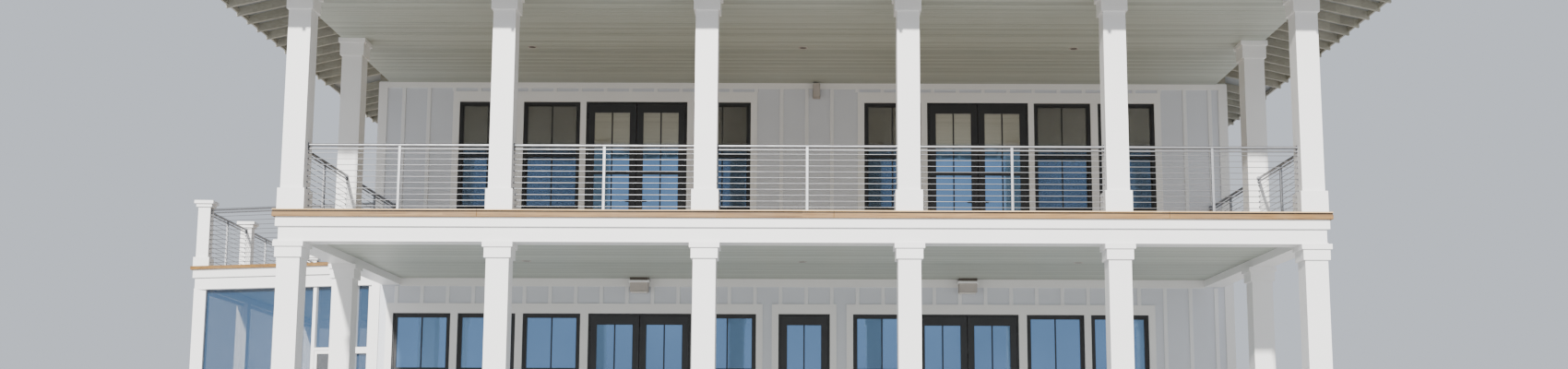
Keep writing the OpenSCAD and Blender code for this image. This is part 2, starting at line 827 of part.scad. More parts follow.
// Hinges stand on the face y of a door of height h, three to a door, pin at x
hinge_h = 100;
hinge_ends = 250;
knuckle_h = 36;
plate_t = 3;
plate_w = 28;
knuckle_off = knuckle_d / 2 + 1;
knuckle_seat = 0.5;
module at_hinges(x, y, h) {
    for (z = [hinge_ends, h / 2, h - hinge_ends])
        translate([x, y - knuckle_off, z]) children();
}

// Half of a hinge on the leaf: the middle knuckle, bored for the pin, and its plate.
// The pin is at the origin and the leaf lies towards +X, its face at y = knuckle_off.
module leaf_hinge() {
    clear_r = knuckle_d / 2 + 1.5;
    difference() {
        union() {
            translate([0, 0, -knuckle_h / 2]) cylinder(d = knuckle_d, h = knuckle_h, $fn = 24);
            span([0, knuckle_off - plate_t, -knuckle_h / 2],
                 [plate_w, knuckle_off, knuckle_h / 2]);
        }
        translate([0, 0, -hinge_h]) cylinder(d = pin_d + 2 * pin_gap, h = 2 * hinge_h, $fn = 24);
    }
    span([clear_r, knuckle_off - plate_t, -hinge_h / 2],
         [plate_w, knuckle_off, hinge_h / 2]);
}

// The other half, on the frame towards -X: two end knuckles, the pin and a plate
module frame_hinge() {
    end_h = (hinge_h - knuckle_h) / 2 - knuckle_seat;
    for (z = [-hinge_h / 2, hinge_h / 2 - end_h]) {
        translate([0, 0, z]) cylinder(d = knuckle_d, h = end_h, $fn = 24);
        span([-plate_w, knuckle_off - plate_t, z], [0, knuckle_off, z + end_h]);
    }
    translate([0, 0, -hinge_h / 2]) cylinder(d = pin_d, h = hinge_h, $fn = 24);
    span([-plate_w, knuckle_off - plate_t, -hinge_h / 2],
         [-knuckle_d / 2 - 1.5, knuckle_off, hinge_h / 2]);
}

handle_d = 18;
handle_len = 120;
handle_off = 50;
rose_w = 44;
rose_h = 220;
rose_t = 5;
module handle(x, y) {
    span([x - rose_w / 2, y - rose_t, handle_z - rose_h / 2],
         [x + rose_w / 2, y, handle_z + rose_h / 2]);
    translate([x, y, handle_z]) rotate([90, 0, 0])
        cylinder(d = handle_d, h = handle_off + handle_d / 2, $fn = 24);
    translate([x, y - handle_off, handle_z]) rotate([0, 90, 0])
        cylinder(d = handle_d, h = handle_len, $fn = 24);
}

module leaf_glass(s, w, inner) {
    y = leaf_face + (leaf_t - glass_t) / 2;
    mirror([s < 0 ? 1 : 0, 0, 0]) translate([inner, 0, 0]) {
        span([stile_w, y, bottom_rail_h + leaf_foot], [w - stile_w, y + glass_t, mid_rail_z]);
        span([stile_w, y, mid_rail_z + mid_rail_h],
             [w - stile_w, y + glass_t, leaf_foot + leaf_h - top_rail_h]);
    }
}

module pair_leaf(x, s) {
    color(black) translate([x, 0, floor_lo]) leaf(s, pair_leaf_w, meet_gap / 2);
}

module pair_glass(x, s) {
    color(clear) translate([x, 0, floor_lo]) leaf_glass(s, pair_leaf_w, meet_gap / 2);
}

module left_pair_left_leaf() { pair_leaf(lower_pairs[0], -1); }
module left_pair_right_leaf() { pair_leaf(lower_pairs[0], 1); }
module right_pair_left_leaf() { pair_leaf(lower_pairs[1], -1); }
module right_pair_right_leaf() { pair_leaf(lower_pairs[1], 1); }
module left_pair_left_glass() { pair_glass(lower_pairs[0], -1); }
module left_pair_right_glass() { pair_glass(lower_pairs[0], 1); }
module right_pair_left_glass() { pair_glass(lower_pairs[1], -1); }
module right_pair_right_glass() { pair_glass(lower_pairs[1], 1); }

module single_leaf() {
    color(black) translate([single_x - single_leaf_w / 2, 0, floor_lo])
        leaf(1, single_leaf_w, 0);
}

module single_glass() {
    color(clear) translate([single_x - single_leaf_w / 2, 0, floor_lo])
        leaf_glass(1, single_leaf_w, 0);
}

// Frame around a doorway: two jambs, a head and a low sill, with a stop behind the leaf
stop_t = 12;
sill_plate = 6;
module door_frame(w, hung) {
    difference() {
        span([-w / 2, leaf_face, 0], [w / 2, wall_t, head_h]);
        span([-w / 2 + frame_w, leaf_face - 1, sill_plate],
             [w / 2 - frame_w, wall_t + 1, head_h - frame_w]);
    }
    for (s = hung) mirror([s < 0 ? 1 : 0, 0, 0])
        at_hinges(w / 2 - frame_w - leaf_gap / 2, leaf_face, head_h)
            mirror([1, 0, 0]) frame_hinge();
    y = leaf_face + leaf_t + leaf_gap;
    difference() {
        span([-w / 2, y, 0], [w / 2, y + stop_t, head_h]);
        span([-w / 2 + frame_w + stop_t, y - 1, -1],
             [w / 2 - frame_w - stop_t, y + stop_t + 1, head_h - frame_w - stop_t]);
    }
}

module door_frames() {
    color(black) {
        for (x = lower_pairs) translate([x, 0, floor_lo]) door_frame(pair_w, [-1, 1]);
        translate([single_x, 0, floor_lo]) door_frame(single_w, [1]);
        for (x = upper_pairs) translate([x, 0, deck_z]) door_frame(pair_w, [-1, 1]);
    }
}

module upper_doors() {
    color(black) for (x = upper_pairs, s = [-1, 1]) translate([x, 0, deck_z])
        leaf(s, pair_leaf_w, meet_gap / 2);
}

// Lanterns over the double doors, a wall lamp and ceiling lights
spot_x = 0.6125 * corner_x;
spot_y = -0.4423 * porch_d;
spot_t = spot_d / 12.5;
module porch_lights() {
    color(grey) {
        for (x = lower_pairs)
            span([x - lantern_w / 2, -trim_t - lantern_out, ceil_lo - lantern_h],
                 [x + lantern_w / 2, -trim_t, ceil_lo]);
        span([lamp_x - lamp_w / 2, -trim_t - lamp_w, deck_z + lamp_foot],
             [lamp_x + lamp_w / 2, -trim_t, deck_z + lamp_foot + lamp_h]);
        for (x = [-spot_x, 0, spot_x], z = [ceil_lo, ceil_up])
            translate([x, spot_y, z - spot_t]) cylinder(d = spot_d, h = spot_t, $fn = 32);
    }
}

// Wing: its front and side turn away from the house by small angles
fa = wing_front_turn;
sa = wing_side_turn;
wing_x = -house_half_w - wing_w;
wing_corner = [wing_x, wing_y];
wing_back_y = wing_y + wing_bays * wing_bay * cos(sa);
wing_board_z = beam_top - wing_drop;
wing_deck_z = wing_board_z + board_t;
wing_edge_z = wing_deck_z - wing_edge_h;
wing_layers = [
    beam_layers[0],
    beam_layers[1],
    [edge_z - fascia_h, wing_edge_z, fascia_out],
    [wing_edge_z, wing_board_z, edge_out - edge_t]
];

// Points of the wing's outline, an offset outside the line through its posts. The
// outline runs on into the house wall by the depth inset.
function wing_q(off) = wing_corner
    - off / cos(fa + sa) * [cos(fa) - sin(sa), cos(sa) - sin(fa)];
function wing_front_at(x, off) = wing_y - tan(fa) * (x - wing_x) - off / cos(fa);
function wing_b(off) = [wing_x - (off + sin(sa) * (wing_back_y + off - wing_y)) / cos(sa),
    wing_back_y + off];
function wing_outline(off, inset = 0) = [
    [-house_half_w, wing_front_at(-house_half_w, off)], wing_q(off), wing_b(off),
    [-house_half_w + inset, wing_back_y + off],
    [-house_half_w + inset, wing_front_at(-house_half_w, off) + inset]];

// Posts of the wing stand along its side; its front and back run to the house
function side_post(k) = wing_corner + k * wing_bay * [-sin(sa), cos(sa)];
wing_front_len = round(wing_w / cos(fa));
wing_back_len = -house_half_w - side_post(wing_bays)[0];

module wing_beams() {
    out = post_w / 2;
    color(white) difference() {
        for (l = wing_layers) translate([0, 0, l[0]]) linear_extrude(l[1] - l[0])
            polygon(wing_outline(out + l[2]));
        translate([0, 0, beam_z - 1]) linear_extrude(beam_h + 2)
            polygon(wing_outline(-out, 1));
    }
}

module wing_deck() {
    out = post_w / 2;
    color(wood) {
        translate([0, 0, wing_board_z]) linear_extrude(board_t)
            polygon(wing_outline(out + edge_out - edge_t));
        translate([0, 0, wing_edge_z]) linear_extrude(wing_edge_h) difference() {
            polygon(wing_outline(out + edge_out));
            polygon(wing_outline(out + edge_out - edge_t, 1));
        }
        translate([0, 0, ceil_lo]) linear_extrude(wing_board_z - ceil_lo)
            polygon(wing_outline(-out));
    }
}

module at_posts() {
    for (k = [0:wing_bays]) translate(side_post(k)) rotate([0, 0, sa]) children();
}

wing_head_z = beam_z - wing_fit;
module wing_columns() { color(white) at_posts() block(post_w, floor_lo, wing_head_z); }
module wing_posts() { color(white) at_posts() deck_post(); }

module deck_post() {
    foot = wing_deck_z + wing_fit;
    top = wing_deck_z + wing_post_h;
    block(post_w, foot, top - 2 * cap_step_h);
    block(wing_base_w, foot, wing_deck_z + wing_base_h);
    block((cap_w + post_w) / 2, top - 2 * cap_step_h, top - cap_step_h);
    block(cap_w, top - cap_step_h, top);
}

// The half of space taken up by the house, for what runs up to its wall
module house_side() {
    span([-house_half_w, -porch_d, 0], [0, house_d, ceil_up]);
}

module wing_rail(len) {
    rail_panel(0, len, wing_deck_z, h = wing_rail_h, n = cables + 1);
}

module wing_railing() {
    color(steel) difference() {
        union() {
            for (k = [0:wing_bays - 1]) at_side(k) wing_rail(wing_bay);
            at_wing_front() wing_rail(wing_front_len + post_w);
            at_back() wing_rail(wing_back_len);
        }
        at_posts() deck_post();
        house_side();
        span([-house_half_w - trim_t, -porch_d, wing_deck_z], [0, corner_w, ceil_up]);
    }
}

// Runs between the wing's posts, each along +X with the outside towards -Y
module at_side(k) {
    translate(side_post(k)) rotate([0, 0, 90 + sa]) mirror([0, 1, 0]) children();
}
module at_wing_front() { translate(wing_corner) rotate([0, 0, -fa]) children(); }
module at_back() { translate(side_post(wing_bays)) mirror([0, 1, 0]) children(); }

// Screens of a bay from a to b: three rails, an upright, a foot panel and the mesh
module screen_bay(a, b) {
    mid = (a + b) / 2;
    half = screen_bar / 2;
    for (z = [floor_lo + screen_foot_h, floor_lo + screen_bar_z, wing_head_z - screen_bar])
        span([a, -half, z], [b, half, z + screen_bar]);
    span([mid - half, -half, floor_lo + screen_foot_h], [mid + half, half, wing_head_z]);
    span([a, -half / 2, floor_lo], [b, half / 2, floor_lo + screen_foot_h]);
    span([a, -mesh_t / 2, floor_lo + screen_foot_h], [b, mesh_t / 2, wing_head_z]);
}

// The wing's front: a tall sheet of glass from the corner post to the screen door, a
// light over the door, and a narrow light between the door and the house
light_r = wing_front_len - screen_bar;
light_l = light_r - side_light_w;
door_r = light_l - screen_bar;
door_l = door_r - wing_door_w - 2 * leaf_gap;
front_face = -front_bar_d / 2;
wing_door_head = floor_lo + screen_bar_z;
transom_top = wing_door_head + transom_h;
side_light_head = wing_door_head - leaf_gap - wing_door_bar;

module wing_screens() {
    color(white) difference() {
        union() {
            for (k = [0:wing_bays - 1]) at_side(k) screen_bay(0, wing_bay);
            at_back() screen_bay(0, wing_back_len);
        }
        at_posts() block(post_w, 0, beam_z + 1);
        house_side();
    }
}

module wing_front_frame() {
    half = front_bar_d / 2;
    foot = floor_lo + wing_fit;
    color(white) difference() {
        at_wing_front() {
            span([0, -half, foot], [door_l, half, floor_lo + screen_bar]);
            span([door_r, -half, foot], [light_r, half, floor_lo + screen_bar]);
            for (x = [door_l - screen_bar, door_r])
                span([x, -half, foot], [x + screen_bar, half, wing_head_z]);
            span([light_r, -half, foot], [light_r + post_w, half, wing_head_z]);
            span([door_l, -half, wing_door_head], [door_r, half, transom_top]);
            span([light_l, -half, side_light_head], [light_r, half, transom_top]);
            translate([0, 0, floor_lo])
                at_hinges(door_l + leaf_gap / 2, -half, screen_bar_z) frame_hinge();
        }
        at_posts() block(post_w, 0, beam_z + 1);
        house_side();
    }
}

// The sheets of glass of the wing's front
module wing_glazing() {
    fit = wing_fit;
    color(clear) at_wing_front() difference() {
        for (p = [[0, floor_lo + screen_bar, door_l - screen_bar, beam_z],
                  [door_l, transom_top, door_r, beam_z],
                  [light_l, transom_top, light_r, beam_z],
                  [light_l, floor_lo + screen_bar, light_r, side_light_head]])
            span([p[0] + fit, -glass_t / 2, p[1] + fit], [p[2] - fit, glass_t / 2, p[3] - fit]);
        rotate([0, 0, fa + sa]) block(post_w + 2 * fit, 0, beam_z + 1);
    }
}

wing_leaf_top = screen_bar_z - leaf_gap;
wing_leaf_l = door_l + leaf_gap;
wing_leaf_r = wing_leaf_l + wing_door_w;
wing_rail_z = 900;

module wing_door_leaf() {
    face = front_face;
    b = wing_door_bar;
    color(white) at_wing_front() translate([0, 0, floor_lo]) {
        difference() {
            span([wing_leaf_l, face, leaf_foot],
                 [wing_leaf_r, face + wing_door_t, wing_leaf_top]);
            for (z = [[leaf_foot + 2 * b, wing_rail_z], [wing_rail_z + b, wing_leaf_top - b]])
                span([wing_leaf_l + b, face - 1, z[0]],
                     [wing_leaf_r - b, face + wing_door_t + 1, z[1]]);
        }
        at_hinges(door_l + leaf_gap / 2, face, screen_bar_z) leaf_hinge();
        translate([wing_leaf_r - b / 2, 0, 0]) mirror([1, 0, 0]) handle(0, face);
    }
}

module wing_door_mesh() {
    face = front_face;
    b = wing_door_bar;
    y = face + (wing_door_t - mesh_t) / 2;
    color(grey) at_wing_front() translate([0, 0, floor_lo])
        for (z = [[leaf_foot + 2 * b, wing_rail_z], [wing_rail_z + b, wing_leaf_top - b]])
            span([wing_leaf_l + b, y, z[0]], [wing_leaf_r - b, y + mesh_t, z[1]]);
}

foundation();
front_wall_left();
front_wall_mid_left();
front_wall_mid_right();
front_wall_right();
front_wall_over_doors();
lower_side_walls();
lower_back_wall();
upper_floor();
upper_front_wall();
upper_side_walls();
upper_back_wall();
upper_ceiling();
roof();
eave_front();
eave_back();
eave_left();
eave_right();
porch_beam_front();
porch_beam_sides();
deck_joists();
deck_boards();
deck_edge();
lower_ceiling();
lower_columns();
upper_columns();
front_railing();
side_railings();
front_trim();
house_trim();
front_windows();
house_windows();
window_glass();
upper_doors();
door_frames();
left_pair_left_leaf();
left_pair_right_leaf();
right_pair_left_leaf();
right_pair_right_leaf();
single_leaf();
left_pair_left_glass();
left_pair_right_glass();
right_pair_left_glass();
right_pair_right_glass();
single_glass();
porch_lights();
wing_beams();
wing_deck();
wing_columns();
wing_posts();
wing_railing();
wing_screens();
wing_front_frame();
wing_glazing();
wing_door_leaf();
wing_door_mesh();
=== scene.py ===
# The looks of the beach house: battens, boards, window bars, roof seams, rail fittings,
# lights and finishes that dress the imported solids. Metres, in the frame of the solids.
import math

import bpy
from mathutils import Matrix, Vector


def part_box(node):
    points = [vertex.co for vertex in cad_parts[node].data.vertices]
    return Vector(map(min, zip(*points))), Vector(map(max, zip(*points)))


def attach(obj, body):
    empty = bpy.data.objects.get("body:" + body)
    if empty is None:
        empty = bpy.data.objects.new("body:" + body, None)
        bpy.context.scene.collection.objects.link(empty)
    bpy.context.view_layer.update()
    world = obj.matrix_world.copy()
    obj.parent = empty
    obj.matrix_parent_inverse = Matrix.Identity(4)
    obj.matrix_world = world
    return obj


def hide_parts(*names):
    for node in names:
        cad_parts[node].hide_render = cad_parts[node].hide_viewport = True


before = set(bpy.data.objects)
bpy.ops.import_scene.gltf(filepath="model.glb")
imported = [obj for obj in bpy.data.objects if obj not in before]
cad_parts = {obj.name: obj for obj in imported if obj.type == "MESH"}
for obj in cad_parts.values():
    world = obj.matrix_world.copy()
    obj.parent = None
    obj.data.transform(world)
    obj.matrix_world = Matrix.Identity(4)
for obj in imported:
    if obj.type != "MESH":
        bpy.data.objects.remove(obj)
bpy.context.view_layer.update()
HOUSE = "house"

# Levels, read from the solids
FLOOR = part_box("foundation")[1].z
LOWER_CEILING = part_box("lower_ceiling")[0].z
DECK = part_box("deck_boards")[1].z
UPPER_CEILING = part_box("upper_ceiling")[0].z
BEAM_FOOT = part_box("porch_beam_front")[0].z

# Plan of the house and its porch
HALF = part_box("upper_front_wall")[1].x
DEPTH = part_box("upper_back_wall")[1].y
PORCH = 5.2
COLUMN = 0.305
HALF_COLUMN = COLUMN / 2
COLUMNS_X = (-6.857, -4.068, -1.31, 1.431, 4.238, 6.857)
COLUMN_Y = -PORCH + HALF_COLUMN
SIDE_COLUMN_Y = -PORCH / 2
COLUMN_FACE = COLUMNS_X[-1] + HALF_COLUMN
PLINTH_OUT, PLINTH_H = 0.029, 0.29
CORNER_BOARD = 0.135
FRIEZE_LOWER, FRIEZE_UPPER = 0.14, 0.1

# Openings: centres along each wall, and sizes
LOWER_WINDOWS = (-6.333, -5.254, -4.172, -1.248, 1.326, 4.215, 5.285)
UPPER_WINDOWS = (-5.336, -4.249, -1.362, 1.52, 4.392, 5.474)
LOWER_PAIRS = (-2.704, 2.745)
UPPER_PAIRS = (-2.812, 2.959)
SINGLE_DOOR = 0.032
SIDE_WINDOWS = (2.19375, 4.875, 7.55625)
BACK_WINDOWS = (-5.299, -4.2, -0.541, 0.541, 4.2, 5.299)
HEAD = 2.698
WINDOW_W, WINDOW_H = 0.96, 1.85
PAIR_W, SINGLE_W = 1.71, 0.855
CASING = 0.11
HEAD_BOARD_LOWER, HEAD_BOARD_UPPER = 0.166, 0.178
SILL_H = 0.045
FRAME_W, SASH_W, SASH_T = 0.03, 0.042, 0.038

# Roof: all four slopes rise at one pitch from one level eave
PITCH = 0.25
OVERHANG = 0.8
EAVE_X = HALF + OVERHANG
EAVE_FRONT, EAVE_BACK = -PORCH - OVERHANG, DEPTH + OVERHANG
# The lip of the roof hangs this far under the eave line
ROOF_LIP = 0.01
EAVE_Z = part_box("roof")[0].z + ROOF_LIP
ROOF_T = 0.06
CAP_HALF = 0.12
SEAM_PITCH, SEAM_SET_IN, SHORTEST_SEAM = 0.445, 0.004, 0.1

# Wing: its front and side turn away from the house, by these degrees
WING_FRONT_DEGREES, WING_SIDE_DEGREES = 13.9, 3.3
WING_FRONT_TURN = math.radians(WING_FRONT_DEGREES)
WING_SIDE_TURN = math.radians(WING_SIDE_DEGREES)
WING_W = 3.205
WING_CORNER = Vector((-HALF - WING_W, 0.94, 0))
WING_BAY, WING_BAYS, WING_POST = 2.42, 3, 0.203
HALF_POST = WING_POST / 2
WING_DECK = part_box("wing_deck")[1].z
WING_ALONG = Vector((-math.sin(WING_SIDE_TURN), math.cos(WING_SIDE_TURN), 0))
WING_BACK = WING_CORNER + WING_ALONG * WING_BAY * WING_BAYS

# Where the wing's beams and deck meet the left wall: middle and half of their length
WING_MEETS = (-4.2, 4.25)
# How far its deck boards reach out of the line of its posts, and its ceiling stays in
WING_DECK_OUT, WING_CEILING_IN = 0.116, 0.103
# How far its deck boards go into its deck, and stand up from it
WING_BOARD_LAP, WING_BOARD_UP = 0.001, 0.008
# Feet of the middle rail and the foot rail in its screens
WING_MIDDLE_RAIL, WING_FOOT_RAIL = FLOOR + 2.092, FLOOR + 0.7
# Its top rails stand higher than the porch's, and its front ones stop short of the house
WING_RAIL_RAISED, WING_RAIL_SHORT = 0.09, 0.021

# Trim boards stand this far out of the walls; bars and boards have edges worn this wide
TRIM_T, WORN = 0.02, 0.004
BATTEN_W, BATTEN_T, BATTEN_PITCH, BATTEN_FIRST = 0.064, 0.019, 0.427, -6.766
# Battens stay this clear of the boards round an opening
BATTEN_ROOM, SHORTEST_BATTEN = 0.004, 0.03
BAR_HALF = 0.011
# A direction counts as along an axis from this cosine on
STRAIGHT = 0.9

# Boards: their width and the gap to the next, and how long one piece is
DECK_BOARD, CEILING_BOARD, EAVE_BOARD = (0.140, 0.005), (0.089, 0.003), (0.130, 0.004)
CEILING_T = 0.007
PORCH_PIECE, WING_PIECE, SHORTEST_PIECE = 4.8, 3.6, 0.3
BUTT_JOINT, OVERLONG = 0.002, 0.02
# The first butt joint of a row, and how it moves on over five rows, in parts of a piece
FIRST_STOP, NEXT_STOP = 0.35, 0.31


# ---- making pieces ----

def clear_selection():
    bpy.ops.object.select_all(action="DESELECT")


def take(piece):
    """Makes a piece the only selected one."""
    clear_selection()
    piece.select_set(True)
    bpy.context.view_layer.objects.active = piece


def settled(name):
    """Names the primitive just added and moves its place and size into its mesh."""
    piece = bpy.context.object
    piece.name = piece.data.name = name
    bpy.ops.object.transform_apply(location=True, rotation=True, scale=True)
    return piece


def block(name, low, high):
    """Starts a piece as a cube primitive between two corners."""
    clear_selection()
    bpy.ops.mesh.primitive_cube_add(
        size=1, location=[(a + b) / 2 for a, b in zip(low, high)],
        scale=[b - a for a, b in zip(low, high)])
    return settled(name)


def rod(name, foot, axis, length, radius, sides):
    """Starts a piece as a cylinder primitive along X or Z, from its foot on that axis."""
    clear_selection()
    middle = foot + length / 2
    bpy.ops.mesh.primitive_cylinder_add(
        vertices=sides, radius=radius, depth=length,
        location=(middle, 0, 0) if axis == "X" else (0, 0, middle),
        rotation=(0, math.pi / 2, 0) if axis == "X" else (0, 0, 0))
    return settled(name)


def shape(piece, kind, test, *steps):
    """Selects faces or edges by their place and direction, and runs edit-mode steps."""
    take(piece)
    mesh = piece.data
    bpy.context.tool_settings.mesh_select_mode = (False, kind == "edges", kind == "faces")
    for items in (mesh.vertices, mesh.edges, mesh.polygons):
        items.foreach_set("select", [False] * len(items))
    if kind == "faces":
        for face in mesh.polygons:
            face.select = test(face.center, face.normal)
    else:
        for edge in mesh.edges:
            a, b = (mesh.vertices[i].co for i in edge.vertices)
            edge.select = test((a + b) / 2, (b - a).normalized())
    bpy.ops.object.mode_set(mode="EDIT")
    for step in steps:
        step()
    bpy.ops.object.mode_set(mode="OBJECT")


def bevelled(width):
    return lambda: bpy.ops.mesh.bevel(offset=width, segments=1, affect="EDGES")


def inset(width, depth=0.0, each=False):
    return lambda: bpy.ops.mesh.inset(thickness=width, depth=depth, use_individual=each)


def pushed(x, y, z):
    move = {"value": (x, y, z)}
    return lambda: bpy.ops.mesh.extrude_region_move(TRANSFORM_OT_translate=move)


def upright(at, run):
    return abs(run.z) > STRAIGHT


def facing(axis, way=0):
    """Test for the faces that look along an axis: one way, or both ways."""
    def test(at, normal):
        look = getattr(normal, axis)
        return (look * way if way else abs(look)) > STRAIGHT
    return test


def soften(piece, width=0.003, segments=1):
    """Rounds every sharp edge of a piece a little."""
    take(piece)
    modifier = piece.modifiers.new("softened edges", "BEVEL")
    modifier.width = width
    modifier.segments = segments
    modifier.limit_method = "ANGLE"
    modifier.angle_limit = math.radians(40)
    bpy.ops.object.modifier_apply(modifier=modifier.name)
    return piece


def joined(name, parts):
    """Joins several parts into one piece."""
    take(parts[0])
    for part in parts[1:]:
        part.select_set(True)
    if len(parts) > 1:
        bpy.ops.object.join()
    piece = bpy.context.object
    piece.name = piece.data.name = name
    return piece


def stamp(name, master, places):
    """Copies a part, each copy with its own mesh, to every place, and joins them."""
    copies = []
    for place in places:
        copy = bpy.data.objects.new(name, master.data.copy())
        copy.data.transform(place)
        bpy.context.collection.objects.link(copy)
        copies.append(copy)
    bpy.data.objects.remove(master)
    return joined(name, copies)


def dress(piece, material, body=HOUSE, stands_for=()):
    """Gives a piece its finish and the body that it rides on, and hides the imported parts that
    it stands for.
    """
    piece.data.materials.clear()
    piece.data.materials.append(material)
    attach(piece, body)
    if stands_for:
        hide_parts(*stands_for)
    return piece


def shift(x=0.0, y=0.0, z=0.0):
    return Matrix.Translation((x, y, z))


def turned(degrees):
    return Matrix.Rotation(math.radians(degrees), 4, "Z")


def stretched(x=1.0, y=1.0, z=1.0):
    return Matrix.Diagonal((x, y, z, 1))


# ---- materials ----

COLOUR, VALUE, VECTOR = "NodeSocketColor", "NodeSocketFloat", "NodeSocketVector"
SURFACE = {"Colour": COLOUR, "Roughness": VALUE, "Height": VALUE}
SPLASHED_DIRT, GREYED_TIMBER = (0.46, 0.42, 0.35, 1), (0.47, 0.45, 0.41, 1)
# Between these heights the upper glass goes from a painted reflection of the sky to a painted
# reflection of the porch ceiling
TONE_CHANGE = (5.60, 5.76)


def put(tree, kind, feeds=None, **settings):
    """Adds a shader node, sets it, and gives its inputs a value or a link."""
    made = tree.nodes.new("ShaderNode" + kind)
    for name, value in settings.items():
        setattr(made, name, value)
    for name, value in (feeds or {}).items():
        if isinstance(value, bpy.types.NodeSocket):
            tree.links.new(value, made.inputs[name])
        else:
            made.inputs[name].default_value = value
    return made


def new_group(name, outputs=SURFACE, **inputs):
    """Starts a shared surface effect: its tree, inputs, outputs and object coordinates."""
    group = bpy.data.node_groups.new(name, "ShaderNodeTree")
    for side, sockets in (("INPUT", inputs), ("OUTPUT", outputs)):
        for label, kind in sockets.items():
            group.interface.new_socket(label, in_out=side, socket_type=kind)
    given = group.nodes.new("NodeGroupInput").outputs
    out = group.nodes.new("NodeGroupOutput").inputs
    return group, given, out, put(group, "TexCoord").outputs["Object"]


def send(tree, out, **results):
    """Links the results to the group's outputs and returns the finished group."""
    for label, result in results.items():
        tree.links.new(result, out[label])
    return tree


def maths(tree, operation, *values):
    return put(tree, "Math", dict(enumerate(values)), operation=operation).outputs[0]


def vectors(tree, operation, a, b, output="Vector"):
    return put(tree, "VectorMath", {0: a, 1: b}, operation=operation).outputs[output]


def times(tree, vector, factor):
    return put(tree, "VectorMath", {0: vector, "Scale": factor}, operation="SCALE").outputs[0]


def noise(tree, place, scale, detail=3.0, rough=0.5):
    return put(tree, "TexNoise", {"Vector": place, "Scale": scale, "Detail": detail,
                                  "Roughness": rough}).outputs["Fac"]


def spread(tree, value, low, high, out_low=0.0, out_high=1.0):
    """Stretches part of a value's range to a new range."""
    return put(tree, "MapRange", {"Value": value, "From Min": low, "From Max": high,
                                  "To Min": out_low, "To Max": out_high}).outputs["Result"]


def blended(tree, factor, a, b):
    """A colour between two others, which a mix node takes as its inputs 6 and 7."""
    return put(tree, "Mix", {0: factor, 6: a, 7: b}, data_type="RGBA").outputs[2]


def coordinate(tree, place, axis):
    return put(tree, "SeparateXYZ", {0: place}).outputs[axis]


def paint_group():
    """Brushed paint with soft patches, brush marks and a splash line near the ground."""
    tree, given, out, place = new_group(
        "brushed paint", Colour=COLOUR, Patches=VALUE, Sheen=VALUE, Brush=VECTOR)
    patches = spread(tree, noise(tree, place, 1.1), 0.3, 0.7, -1, 1)
    tone = times(tree, given["Colour"],
                 maths(tree, "MULTIPLY_ADD", patches, given["Patches"], 1.0))
    brush = noise(tree, vectors(tree, "MULTIPLY", place, given["Brush"]), 1.0, 4.0, 0.6)
    low = spread(tree, coordinate(tree, place, "Z"), 0.15, 0.9, 0.30, 0.0)
    speck = spread(tree, noise(tree, place, 9.0, 4.0, 0.65), 0.4, 0.7)
    worn = spread(tree, brush, 0.3, 0.7, -0.05, 0.05)
    return send(tree, out, Height=brush, Roughness=maths(tree, "ADD", worn, given["Sheen"]),
                Colour=blended(tree, maths(tree, "MULTIPLY", low, speck), tone, SPLASHED_DIRT))


def timber_group():
    """Boards with grain, a tone of their own for each board, and silvered patches."""
    tree, given, out, place = new_group(
        "timber boards", Light=COLOUR, Dark=COLOUR, Silver=VALUE, Across=VECTOR, Pitch=VALUE,
        Stretch=VECTOR)
    reach = vectors(tree, "DOT_PRODUCT", place, given["Across"], "Value")
    row = maths(tree, "FLOOR", maths(tree, "DIVIDE", reach, given["Pitch"]))
    chance = put(tree, "TexWhiteNoise", {"W": row}, noise_dimensions="1D").outputs["Value"]
    own = put(tree, "CombineXYZ", {0: chance, 1: chance, 2: chance}).outputs[0]
    grain_place = vectors(tree, "ADD", vectors(tree, "MULTIPLY", place, given["Stretch"]),
                          times(tree, own, 19.0))
    grain = put(tree, "TexNoise", {"Vector": grain_place, "Scale": 1.0, "Detail": 6.0,
                                   "Roughness": 0.62, "Distortion": 0.9}).outputs["Fac"]
    colour = blended(tree, spread(tree, grain, 0.32, 0.68),
                     given["Dark"], given["Light"])
    toned = times(tree, colour, spread(tree, chance, 0.0, 1.0, 0.84, 1.14))
    worn = spread(tree, noise(tree, place, 2.3, 4.0, 0.6), 0.42, 0.66)
    silver = maths(tree, "MULTIPLY", worn, given["Silver"])
    return send(tree, out, Colour=blended(tree, silver, toned, GREYED_TIMBER),
                Roughness=spread(tree, grain, 0.2, 0.8, 0.62, 0.42), Height=grain)


def metal_group():
    """Metal with drawn marks along one direction, faint stains and a soft sheen."""
    tree, given, out, place = new_group(
        "drawn metal", Colour=COLOUR, Sheen=VALUE, Stains=VALUE, Stretch=VECTOR)
    drawn = noise(tree, vectors(tree, "MULTIPLY", place, given["Stretch"]), 1.0, 3.0, 0.6)
    stain = spread(tree, noise(tree, place, 3.1, 5.0, 0.65), 0.45, 0.75)
    dark = maths(tree, "MULTIPLY", stain, given["Stains"])
    marks = spread(tree, drawn, 0.3, 0.7, -0.07, 0.07)
    gloss = maths(tree, "ADD", marks, given["Sheen"])
    return send(tree, out, Height=drawn,
                Colour=times(tree, given["Colour"], maths(tree, "SUBTRACT", 1.0, dark)),
                Roughness=maths(tree, "MULTIPLY_ADD", dark, 0.5, gloss))


